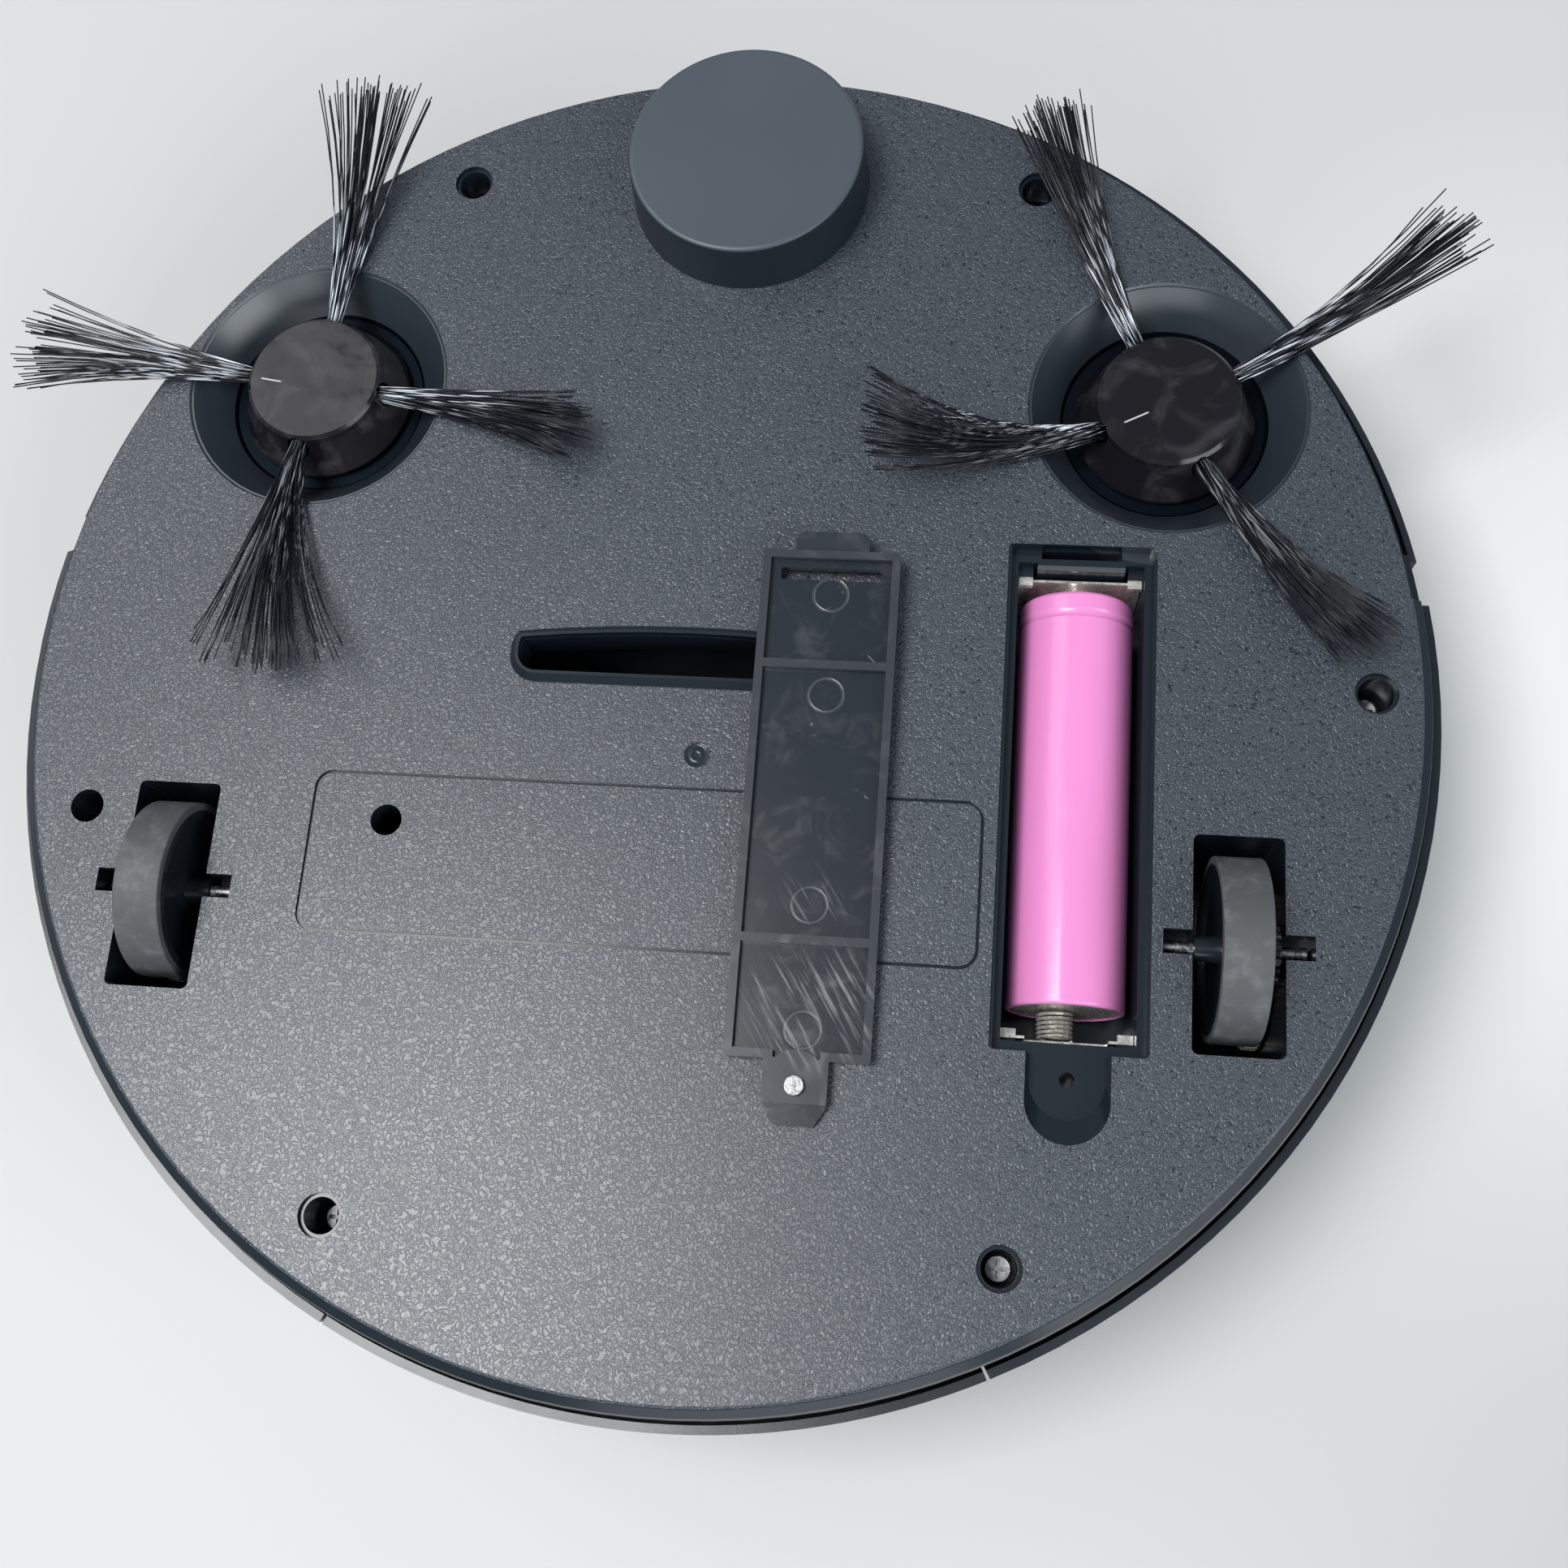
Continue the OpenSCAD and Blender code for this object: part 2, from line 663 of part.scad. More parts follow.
module top_shell() {
    color(plastic) union() {
        difference() {
            union() {
                // rear half: floor, rounded edge, thick lower wall and thin rim
                difference() {
                    rotate_extrude() difference() {
                        rim_profile(0, 0, rim_top_h);
                        translate([0, wall_t]) square([skirt_in_r, far]);
                        translate([0, parting_h]) square([rim_in_r, far]);
                    }
                    in_front_of(rim_shoulder_y);
                }
                // front half: floor and the wall behind the bumper
                difference() {
                    rotate_extrude() {
                        intersection() {
                            rim_profile(0, 0, wall_t);
                            square([rim_in_r, wall_t]);
                        }
                        translate([front_wall_r - wall_t, wall_t - eps])
                            square([wall_t, parting_h - flange_t / 2 - slide_gap - wall_t]);
                    }
                    behind(rim_shoulder_y - eps);
                }
                // end walls between the two radii
                for (s = [-1, 1]) mirrored(s) intersection() {
                    translate([0, 0, wall_t - eps])
                        ring(skirt_in_r + eps, front_wall_r - wall_t,
                            parting_h - wall_t - flange_t / 2 - slide_gap);
                    translate([0, arm_tip_y - bumper_travel - 3, 0]) cube([far, 2.2, far]);
                }
            }
            // room for the arms of the pressed bumper
            for (s = [-1, 1]) mirrored(s) difference() {
                translate([0, arm_tip_y - bumper_travel - 0.8, wall_t + 0.3]) cube([far, far, far]);
                translate([0, 0, -1]) cylinder(h = far, r = front_wall_r);
                difference() {
                    cylinder(h = far, r = far);
                    translate([0, 0, -1]) cylinder(h = far + 2, r = rim_in_r);
                }
            }
            // opening for the dust box
            intersection() {
                face_sector(box_face_angle + 0.25);
                translate([-far / 2, -far / 2, box_floor_h - slide_gap]) cube([far, far / 2, far]);
            }
            // hole for the power button
            translate([0, button_y, -1]) cylinder(h = far, r = button_r + 0.3);
            // window of the charging socket
            translate([-far / 2, socket_y - 4.6, socket_h - 2]) cube([far / 2, 9.2, 4]);
        }
        for (p = screw_places) translate([p[0], p[1], wall_t - eps]) difference() {
            cylinder(h = parting_h - wall_t - slide_gap, r = boss_r - 0.8);
            translate([0, 0, screw_tip_h - wall_t - 1]) cylinder(h = far, r = screw_r + 0.02);
        }
        // cradle of the fan, posts of the circuit board and of the bumper switches
        translate([0, fan_y + fan_case_l / 2, wall_t - eps])
            block(20, fan_case_l - 4, fan_h - fan_case_r - wall_t + eps);
        for (x = [-1, 1], y = [-1, 1])
            translate([x * (board_w / 2 - 4), button_y + y * (board_l / 2 - 3), wall_t - eps])
                cylinder(h = board_h - wall_t + eps, r = 2);
        for (s = [-1, 1]) translate([s * switch_x, switch_y, wall_t - eps])
            block(6, 5, parting_h - 4 - wall_t + eps);
        // shelf of the charging socket
        translate([-skirt_in_r + 7, socket_y, wall_t - eps]) block(10, 7.5, socket_h - 1.6 - wall_t + eps);
    }
}

// ---- Bumper ----

module bumper_wall(outer_inset, inner_r, from_y, bottom, top) {
    difference() {
        rotate_extrude() intersection() {
            rim_profile(bottom, inner_r, top);
            square([rim_r - outer_inset, far]);
        }
        behind(from_y);
    }
}

module bumper() {
    bottom = wall_t + 0.5;
    color(plastic) difference() {
        union() {
            bumper_wall(0, rim_in_r, bumper_end_y, bottom, rim_top_h);
            // arms that reach back past the ends of the ring
            difference() {
                bumper_wall(arm_inset, rim_in_r - 1.1, arm_tip_y, bottom, rim_top_h);
                in_front_of(bumper_end_y + 1.2);
            }
            // flange held between the two shells
            intersection() {
                translate([0, 0, parting_h - flange_t / 2])
                    ring(rim_in_r + eps, front_wall_r - 1.3, flange_t);
                in_front_of(bumper_end_y + 22);
            }
            // pads for the return springs
            for (s = [-1, 1]) translate([s * spring_x, spring_outer_y, spring_h]) rotate([-90, 0, 0])
                cylinder(h = 4, r = spring_r + 0.1);
        }
        difference() {
            cylinder(h = far, r = far);
            translate([0, 0, -1]) cylinder(h = far + 2, r = rim_r - 0.3);
        }
    }
}

spring_x = 24;
spring_h = 31;
spring_r = 2.3;
spring_cup_y = front_wall_r - 9.5;
spring_outer_y = sqrt(pow(rim_in_r, 2) - pow(spring_x + 3, 2)) - 0.6;

function helix_ring(r, wire, angle, z, sides) = [
    for (i = [0:sides - 1]) let (a = 360 / sides * i)
        [(r + wire * cos(a)) * cos(angle), (r + wire * cos(a)) * sin(angle), z + wire * sin(a)]
];

// Coil along Z from z = wire to z = length - wire
module coil(r, wire, length, turns, steps = 16, sides = 8) {
    rings = turns * steps;
    points = [
        for (k = [0:rings])
            each helix_ring(r, wire, 360 * k / steps, wire + (length - 2 * wire) * k / rings, sides)
    ];
    sides_faces = [
        for (k = [0:rings - 1], i = [0:sides - 1])
            let (a = k * sides, b = (k + 1) * sides, j = (i + 1) % sides) [a + i, b + i, b + j, a + j]
    ];
    start_face = [[for (i = [0:sides - 1]) i]];
    end_face = [[for (i = [0:sides - 1]) rings * sides + sides - 1 - i]];
    polyhedron(points, concat(sides_faces, start_face, end_face), convexity = 10);
}

module bumper_springs() {
    length = spring_outer_y - spring_cup_y - 1.6 - 2 * seat_gap;
    color(steel) for (s = [-1, 1])
        translate([s * spring_x, spring_cup_y + 1.6 + seat_gap, spring_h]) rotate([-90, 0, 0])
            coil(spring_r - 0.25, 0.25, length, 6, 12, 6);
}

module bumper_switches() {
    color(dark_plastic) for (s = [-1, 1]) translate([s * switch_x, switch_y, parting_h - 4]) {
        block(switch_w, switch_l, switch_h);
        translate([0, switch_l / 2, 4]) rotate([-90, 0, 0]) cylinder(h = 0.6, r = 0.9);
    }
}

// ---- Front cap and caster ----

module front_cap() {
    base_r = cap_r + 0.6;
    color("#3b3f44") translate([0, cap_y, body_h]) difference() {
        rotate_extrude() difference() {
            union() {
                polygon([[0, 0], [base_r, 0], [cap_r, cap_h - 0.8], [cap_r - 0.8, cap_h], [0, cap_h]]);
                translate([cap_r - 0.8, cap_h - 0.8]) circle(0.8, $fn = 32);
                translate([cap_spigot_r - cap_spigot_t, -cap_spigot_h])
                    square([cap_spigot_t, cap_spigot_h + 1]);
            }
            translate([-1, -5]) square([cap_spigot_r - cap_spigot_t + 1, 5 + cap_h - cap_ceiling]);
        }
    }
}

caster_axle_h = body_h + cap_h - cap_ceiling - 0.4 - caster_r;
caster_axle_r = 1.2;

module caster_yoke() {
    disc_t = 3;
    color(dark_plastic) translate([0, cap_y, 0]) difference() {
        union() {
            translate([0, 0, body_h - socket_depth + seat_gap]) cylinder(h = disc_t, r = socket_r - 0.4);
            translate([0, 0, body_h - socket_depth - spindle_l]) cylinder(h = spindle_l + 1, r = spindle_r);
            for (s = [-1, 1]) translate([s * (caster_w / 2 + 0.4 + 1.3), -caster_trail, 0]) {
                translate([-1.3, -5, body_h - socket_depth + 1])
                    cube([2.6, 10, caster_axle_h - body_h + socket_depth - 1]);
                translate([-1.3, 0, caster_axle_h]) rotate([0, 90, 0]) cylinder(h = 2.6, r = 5);
            }
        }
        translate([-far / 2, -caster_trail, caster_axle_h]) rotate([0, 90, 0])
            cylinder(h = far, r = caster_axle_r + 0.02);
        translate([-caster_w / 2 - 0.4, -caster_trail - caster_r - 0.6, caster_axle_h - caster_r - 0.5])
            cube([caster_w + 0.8, 2 * caster_r + 1.2, far]);
    }
}

module caster_wheel() {
    color(dark_plastic) translate([-caster_w / 2, cap_y - caster_trail, caster_axle_h]) rotate([0, 90, 0])
        rotate_extrude() difference() {
            union() {
                translate([0, 1.5]) square([caster_r, caster_w - 3]);
                square([caster_r - 1.5, caster_w]);
                for (z = [1.5, caster_w - 1.5]) translate([caster_r - 1.5, z]) circle(1.5, $fn = 32);
            }
            translate([-5, -1]) square([5 + caster_axle_r + seat_gap, caster_w + 2]);
        }
}

module caster_axle() {
    l = caster_w + 0.8 + 5.2;
    color(steel) translate([-l / 2, cap_y - caster_trail, caster_axle_h]) rotate([0, 90, 0])
        cylinder(h = l, r = caster_axle_r);
}

// ---- Side brushes ----

hub_base_h = body_h - recess_depth + 0.5;
hub_top_h = body_h + hub_rise;
tuft_root_h = hub_top_h - 2.2;
tuft_root_w = 3;
brush_shaft_r = 1.5;
brush_shaft_top = hub_base_h + 5;

module brush_hub(turn) {
    color(dark_plastic) difference() {
        rotate_extrude() difference() {
            polygon([
                [0, hub_base_h], [hub_foot_r, hub_base_h], [hub_foot_r, hub_base_h + 0.7],
                [hub_r + 0.5, hub_top_h - 1.4], [hub_r + 0.2, hub_top_h - 0.5],
                [hub_r - 0.4, hub_top_h], [0, hub_top_h]
            ]);
            translate([-1, 0]) square([1 + brush_shaft_r + 0.02, brush_shaft_top + 0.1]);
        }
        // sockets that the tufts are fixed in
        for (i = [0:3]) rotate(turn + 90 * i) translate([hub_r - 2.5, 0, tuft_root_h]) rotate([0, 90, 0])
            cylinder(h = 6, r = 1.9);
    }
}

// Each tuft of a brush at rest: how far its tip is bent round from its root, in degrees, and its width there
left_tufts = [[-4, 12], [2.5, 18], [3.5, 18], [9, 20]];
right_tufts = [[6, 12], [-4, 12.5], [-16, 17], [8, 11]];

// Four fans of bristles that widen, bend and rise towards their tips
module brush_bristles(turn, tufts) {
    root_r = hub_r - 2.5 + 0.05;
    slope = atan(tuft_lift / (tuft_reach - root_r));
    color("#0e0f10") for (i = [0:3]) rotate(turn + 90 * i) {
        bend = tufts[i][0];
        tip_w = tufts[i][1] * tuft_spread;
        tip = [(tuft_reach * cos(bend) - root_r) / cos(slope), tuft_reach * sin(bend)];
        near = [3.1, 0];
        knee = [tip[0] * 0.5, 0];
        path = [for (t = [0:0.2:1]) near * pow(1 - t, 2) + knee * 2 * t * (1 - t) + tip * pow(t, 2)];
        width = [for (k = [0:5]) tuft_root_w + (tip_w - tuft_root_w) * pow(k / 5, 1.3)];
        translate([root_r, 0, tuft_root_h]) rotate([0, -slope, 0]) translate([0, 0, -tuft_t / 2])
            linear_extrude(tuft_t) polygon(concat(
                [for (k = [0:5]) path[k] + [0, -width[k] / 2]], [tip + [1.2, 0]],
                [for (k = [5:-1:0]) path[k] + [0, width[k] / 2]]
            ));
        translate([root_r, 0, tuft_root_h]) rotate([0, 90, 0]) cylinder(h = 4.6, r = 1.4);
    }
}

module brush_shaft() {
    color(steel) translate([0, 0, shaft_bottom])
        cylinder(h = brush_shaft_top - shaft_bottom, r = brush_shaft_r);
}

bowl_under_h = body_h - recess_depth - wall_t;
shaft_bottom = bowl_under_h - motor_box_l;

module gear_motor(shaft_r) {
    // gearbox face at z = 0, can below it, with the shaft's bore
    difference() {
        union() {
            translate([0, 0, -motor_box_l]) block(motor_w + 2, motor_w, motor_box_l);
            translate([0, 0, -motor_l - 1]) intersection() {
                cylinder(h = motor_l + 1 - motor_box_l + eps, r = motor_w / 2);
                block(far, motor_h, far);
            }
            translate([0, 0, -motor_l - 2]) cylinder(h = 1.5, r = 2.5);
        }
        translate([0, 0, -motor_box_l]) cylinder(h = far, r = shaft_r + seat_gap);
    }
}

module brush_motor() {
    color("#8d9094") translate([0, 0, bowl_under_h]) gear_motor(brush_shaft_r);
}

// ---- Drive wheels and gears ----

function involute(rb, t) = [rb * (cos(t) + t * PI / 180 * sin(t)), rb * (sin(t) - t * PI / 180 * cos(t))];

function turned(p, a) = [p[0] * cos(a) - p[1] * sin(a), p[0] * sin(a) + p[1] * cos(a)];

function flipped(p) = [p[0], -p[1]];

// Outline of a spur gear whose first tooth points along +X
function gear_points(teeth) = let (
    pressure = 20,
    rp = gear_module * teeth / 2,
    rb = rp * cos(pressure),
    ra = rp + addendum * gear_module,
    rf = rp - dedendum * gear_module,
    backlash = 1.2 / teeth,
    half = 90 / teeth + (tan(pressure) - pressure * PI / 180) * 180 / PI - backlash,
    tip = sqrt(pow(ra / rb, 2) - 1) * 180 / PI,
    start = rf > rb ? sqrt(pow(rf / rb, 2) - 1) * 180 / PI : 0,
    steps = 4,
    flank = [for (k = [0:steps]) turned(involute(rb, start + (tip - start) * k / steps), -half)],
    foot = rf < rb ? [turned([rf, 0], -half)] : [],
    one = concat(foot, flank),
    other = [for (k = [len(one) - 1:-1:0]) flipped(one[k])]
) [for (i = [0:teeth - 1], p = concat(one, other)) turned(p, 360 / teeth * i)];

// Gear whose axis is along X and whose first tooth points down
module gear_along_x(teeth, width, turn = 0) {
    rotate([0, 90, 0]) rotate(turn) linear_extrude(width) polygon(gear_points(teeth));
}

module wheel_hub() {
    inner = wheel_x - tyre_w / 2;
    rim = tyre_r - tyre_t;
    color(dark_plastic) translate([0, wheel_y, axle_h]) difference() {
        union() {
            translate([inner, 0, 0]) rotate([0, 90, 0]) rotate_extrude() polygon([
                [0, tyre_w], [rim, tyre_w], [rim, 0], [rim - 1.3, 0], [rim - 1.6, 1.1],
                [3.2, 2], [2.1, 1.4], [1.9, -2.3], [0, -2.3]
            ]);
            translate([gear_x - 0.7, 0, 0]) rotate([0, 90, 0]) cylinder(h = 0.7 + eps, r = 3.4);
            translate([gear_x, 0, 0]) gear_along_x(wheel_teeth, gear_w);
        }
        translate([0, 0, 0]) rotate([0, 90, 0]) cylinder(h = far, r = axle_r + 0.01);
    }
}

module tyre() {
    shoulder = 0.3;
    color("#3a3a3b") translate([wheel_x - tyre_w / 2, wheel_y, axle_h]) rotate([0, 90, 0])
        rotate_extrude() difference() {
            union() {
                translate([0, shoulder]) square([tyre_r, tyre_w - 2 * shoulder]);
                square([tyre_r - shoulder, tyre_w]);
                for (z = [shoulder, tyre_w - shoulder])
                    translate([tyre_r - shoulder, z]) circle(shoulder, $fn = 32);
            }
            translate([-1, -1]) square([1 + tyre_r - tyre_t + 0.01, tyre_w + 2]);
        }
}

module wheel_axle() {
    color(steel) translate([wheel_x - axle_l / 2, wheel_y, axle_h]) rotate([0, 90, 0])
        rotate_extrude() polygon([
            [0, 0], [axle_r - 0.2, 0], [axle_r, 0.2], [axle_r, axle_l - 2], [axle_r - 0.3, axle_l - 2],
        [axle_r - 0.3, axle_l - 1.5], [axle_r, axle_l - 1.5], [axle_r, axle_l - 0.2],
        [axle_r - 0.2, axle_l], [0, axle_l]
    ]);
}

module idler_gear() {
    color("#d8d4c4") translate([0, wheel_y, idler_h]) difference() {
        union() {
            translate([gear_x, 0, 0]) gear_along_x(idler_teeth, gear_w, 180 / idler_teeth);
            translate([gear_x - 0.6, 0, 0]) rotate([0, 90, 0])
                cylinder(h = slot_out_x - gear_x + 0.6 - 0.1, r = 2);
        }
        rotate([0, 90, 0]) cylinder(h = far, r = idler_pin_r + seat_gap);
    }
}

module idler_pin() {
    color(steel) translate([slot_in_x - well_wall, wheel_y, idler_h]) rotate([0, 90, 0])
        cylinder(h = slot_w + 2 * well_wall, r = idler_pin_r);
}

module motor_pinion() {
    tail = slot_in_x - well_wall - motor_box_l;
    turn = pinion_lean * (1 + idler_teeth / pinion_teeth);
    color("#d8d4c4") translate([0, pinion_y, pinion_h]) {
        translate([gear_x, 0, 0]) gear_along_x(pinion_teeth, gear_w, turn);
        translate([tail, 0, 0]) rotate([0, 90, 0]) cylinder(h = gear_x - tail + eps, r = pinion_shaft_r);
    }
}

module drive_motor() {
    color("#8d9094") translate([slot_in_x - well_wall, pinion_y, pinion_h]) rotate([0, 90, 0])
        rotate(90) gear_motor(pinion_shaft_r);
}

// ---- Battery and its cover ----

module battery_cell() {
    neck = 2.6;
    color("#f09ad4") translate([bay_x, cell_rear_y, cell_h]) rotate([-90, 0, 0])
    rotate_extrude() difference() {
        union() {
            square([cell_r - 0.6, cell_l]);
            translate([0, 0.6]) square([cell_r, cell_l - 1.4]);
            translate([cell_r - 0.6, 0.6]) circle(0.6, $fn = 24);
            translate([cell_r - 0.8, cell_l - 0.8]) circle(0.8, $fn = 24);
        }
        // crimped groove below the positive end
        translate([cell_r + 1.3, cell_l - neck - 1]) circle(1.5, $fn = 24);
        // end faces inside the wrap
        translate([-1, -1]) square([1 + cell_r - wrap_edge, 1.5]);
        translate([-1, cell_l - 0.2]) square([cell_r - 1.5, 1]);
    }
}

module battery_terminal() {
    color(steel) translate([bay_x, 0, cell_h]) rotate([-90, 0, 0]) {
        translate([0, 0, cell_front_y - 0.2]) rotate_extrude() polygon([
            [0, 0], [5.4, 0], [5.4, 0.2], [terminal_r, 0.3], [terminal_r - 0.2, terminal_l + 0.1],
            [terminal_r - 0.5, terminal_l + 0.2], [0, terminal_l + 0.2]
        ]);
        // can's flat end inside the wrap
        translate([0, 0, cell_rear_y + 0.15]) cylinder(h = 0.35, r = cell_r - wrap_edge - 0.3);
    }
}

module battery_spring() {
    color(steel) translate([bay_x - 1.4, coil_rear_y + seat_gap, cell_h]) rotate([-90, 0, 0])
        coil(coil_r, coil_wire_r, coil_l, coil_turns);
}

// Plate behind the coil spring, with a bent tab in each rear corner of the well
module spring_plate() {
    color(steel) translate([bay_x, well_rear_y + 1.05, 0]) difference() {
        union() {
            translate([0, 0, well_bottom + seat_gap]) block(well_w - 0.2, contact_t, 15.6);
            for (s = [-1, 1]) translate([s * (well_w / 2 - 1.25), 0.5, well_bottom + 14.6])
                block(2.3, 1.4, 1);
        }
        // wide gap that leaves an ear in each corner
        translate([0, 0, cell_h + 2]) block(12.4, 3, far);
    }
}

module battery_contact() {
    color(steel) translate([bay_x, contact_y - contact_t, well_bottom + seat_gap]) {
            translate([0, contact_t / 2, 0]) block(well_w - 0.2, contact_t, 15.6);
            // bent tabs at the upper corners
            for (s = [-1, 1]) translate([s * (well_w / 2 - 1.3), contact_t / 2 - 0.5, 15.5])
                block(2.2, contact_t + 1, 1.1);
            // pressed dimple that meets the cell's raised cap
            translate([0, contact_t, cell_h - well_bottom - seat_gap]) rotate([90, 0, 0])
                cylinder(h = contact_t + dimple_l, r = dimple_r);
    }
}

module cover_outline(grow) {
    translate([0, -cover_l / 2]) round_rect(cover_w + 2 * grow, cover_l + 2 * grow, 0.6);
}

// The cover with its outer face down at z = 0 and its front edge at y = 0
module cover_shape() {
    floor_y = -cover_l + cover_rim_w;
    difference() {
        union() {
            linear_extrude(cover_t) {
                cover_outline(0);
                // tongue that carries the screw block and narrows to a fingertip end
                translate([0, -cover_l]) polygon([
                    [-tongue_w / 2, 1], [-tongue_w / 2, -tongue_l], [-tongue_end_w / 2, -tongue_end_l],
                    [tongue_end_w / 2, -tongue_end_l], [tongue_w / 2, -tongue_l], [tongue_w / 2, 1]
                ]);
            }
            linear_extrude(cover_t + cover_wall_h) difference() {
                cover_outline(0);
                translate([0, -cover_l / 2])
                    square([cover_w - 2 * cover_rim_w, cover_l - 2 * cover_rim_w], center = true);
                // gap in the rear wall on both sides of the screw boss
                translate([0, -cover_l]) square([tongue_w - 2.6, 2 * cover_rim_w + 0.4], center = true);
            }
            // cross ribs
            for (share = [0.237, 0.778]) translate([0, -share * cover_l, 0])
                block(cover_w - 2 * cover_rim_w + 0.2, 1.35, cover_t + cover_wall_h);
            translate([0, -cover_l - tongue_l / 2 + 0.2, 0])
                block(tongue_w, tongue_l, cover_t + cover_wall_h);
            // round back of the screw boss, between the ends of the rear wall
            intersection() {
                translate([0, -cover_l - 2.9, 0]) cylinder(h = cover_t + cover_wall_h, r = 4.4);
                translate([0, -cover_l, 0]) block(tongue_w - 3.2, 8, far);
            }
            // front tab with rounded corners, level with the inner side so that it passes under the plate
            translate([0, tab_l / 2 - 0.6, cover_t - 0.2]) block(tab_w, tab_l + 1.2, 0.9, 1.6);
        }
        // slot through the floor behind the front wall
        translate([0, -3.55, -1]) block(15.9, 2, far, 0.4);
        translate([0, -cover_l - cover_screw_out, -1]) cylinder(h = far, r = screw_r + 0.02);
        translate([0, -cover_l - cover_screw_out, -1]) cylinder(h = 2.1, r = screw_head_r - 0.4 + 0.02);
    }
}

module place_cover() {
    pivot_y = cover_front_y - cover_l - tongue_end_l;
    translate([cover_x, pivot_y, body_h + 0.03]) rotate([cover_tilt, 0, 0])
        translate([0, cover_front_y - pivot_y, 0]) children();
}

module battery_cover() {
    color(plastic) place_cover() cover_shape();
}

module cover_screw() {
    color(steel) place_cover() translate([0, -cover_l - cover_screw_out, 0]) {
        translate([0, 0, 0.1]) cylinder(h = 1, r = screw_head_r - 0.4);
        translate([0, 0, 0.1]) cylinder(h = cover_t + cover_wall_h + 1, r = screw_r);
    }
}

// ---- Dust box and fan ----

module box_face(inner_r, half_angle, bottom, top) {
    intersection() {
        rotate_extrude() rim_profile(bottom, inner_r, top);
        face_sector(half_angle);
    }
}

box_rear_y = -sqrt(pow(rim_in_r - face_t, 2) - pow(box_half_w, 2));
box_l = box_front_y - box_rear_y;

module dust_box() {
    color(plastic) difference() {
        translate([0, box_front_y - box_l / 2, box_floor_h])
            block(2 * box_half_w, box_l, box_top_h - lid_t - box_floor_h, 3);
        difference() {
            translate([0, box_front_y - box_l / 2, box_floor_h + box_wall])
                block(2 * (box_half_w - box_wall), box_l - 2 * box_wall, far, 2);
            // baffle between the mouth and the filter
            translate([0, box_front_y - box_wall - filter_t - 1.4, box_floor_h + 14])
                block(2 * box_half_w, 1.2, far);
        }
        translate([0, box_front_y - box_wall / 2, fan_h - filter_h / 2])
            block(filter_w + 0.1, box_wall + 2, filter_h + 0.1);
    }
}

module dust_box_lid() {
    color(plastic) difference() {
        union() {
            translate([0, box_front_y - box_l / 2, box_top_h - lid_t]) block(2 * box_half_w, box_l, lid_t, 3);
            // locating ridge inside the walls
            translate([0, box_front_y - box_l / 2, box_top_h - lid_t - 0.8]) difference() {
                block(2 * (box_half_w - box_wall) - 0.2, box_l - 2 * box_wall - 0.2, 1, 2);
                translate([0, 0, -1])
                    block(2 * (box_half_w - box_wall) - 2.6, box_l - 2 * box_wall - 2.6, far, 1);
                translate([0, box_l / 2 - box_wall - filter_t - 1.4, -1]) block(far, 2.4, far);
            }
        }
        translate([0, 0, box_top_h - box_wall - 1]) linear_extrude(far) mouth_shape(0.4);
    }
}

// Curved rear face of the dust box, which closes the rim between its two seams
module dust_box_face() {
    color(plastic) difference() {
        union() {
            difference() {
                box_face(rim_in_r - face_t - 4, box_face_angle, box_floor_h, parting_h + 6);
                translate([0, box_front_y - box_l / 2, 0]) block(2 * box_half_w + 0.1, box_l + 0.04, far, 3);
                in_front_of(-rim_in_r * cos(box_face_angle) + face_t + 0.6);
            }
            box_face(rim_in_r, box_face_angle, box_floor_h, rim_top_h);
        }
        // finger grip in the underside of the face
        translate([0, -rim_r - 12, box_floor_h - 1]) cylinder(h = 9, r = 16);
    }
}

module dust_filter() {
    pleats = 5;
    pitch = (filter_w - 3) / pleats;
    color("#e8e6df") translate([0, box_front_y, fan_h - filter_h / 2 + 0.05]) difference() {
        translate([0, -filter_t / 2, 0]) block(filter_w, filter_t, filter_h - 0.1);
        for (i = [0:pleats - 1]) translate([-filter_w / 2 + 1.5 + pitch * (i + 0.5), 0, 1.5])
            linear_extrude(filter_h - 3.1) {
                polygon([
                    [-pitch / 2 + 0.35, 1], [pitch / 2 - 0.35, 1],
                    [0.1, 1 - filter_t + 0.4], [-0.1, 1 - filter_t + 0.4]
                ]);
            }
    }
}

module fan_housing() {
    color(dark_plastic) translate([0, fan_y, fan_h]) rotate([-90, 0, 0]) difference() {
        union() {
            cylinder(h = fan_case_l, r = fan_case_r);
            translate([-fan_case_r, 0, 0]) cube([fan_case_r, fan_case_r, fan_case_l]);
        }
        translate([0, 0, 1.6]) cylinder(h = fan_case_l - 3.2, r = impeller_r + 1);
        translate([-fan_case_r - 1, 2, 1.6]) cube([fan_case_r, fan_case_r - 3.6, fan_case_l - 3.2]);
        translate([0, 0, -1]) cylinder(h = far, r = fan_eye_r);
    }
}

module fan_motor() {
    color("#8d9094") translate([0, fan_y + fan_case_l, fan_h]) rotate([-90, 0, 0]) difference() {
        union() {
            cylinder(h = fan_motor_l, r = fan_motor_r);
            cylinder(h = 1.2, r = fan_case_r - 3);
        }
        translate([0, 0, -1]) cylinder(h = far, r = 1 + seat_gap);
    }
}

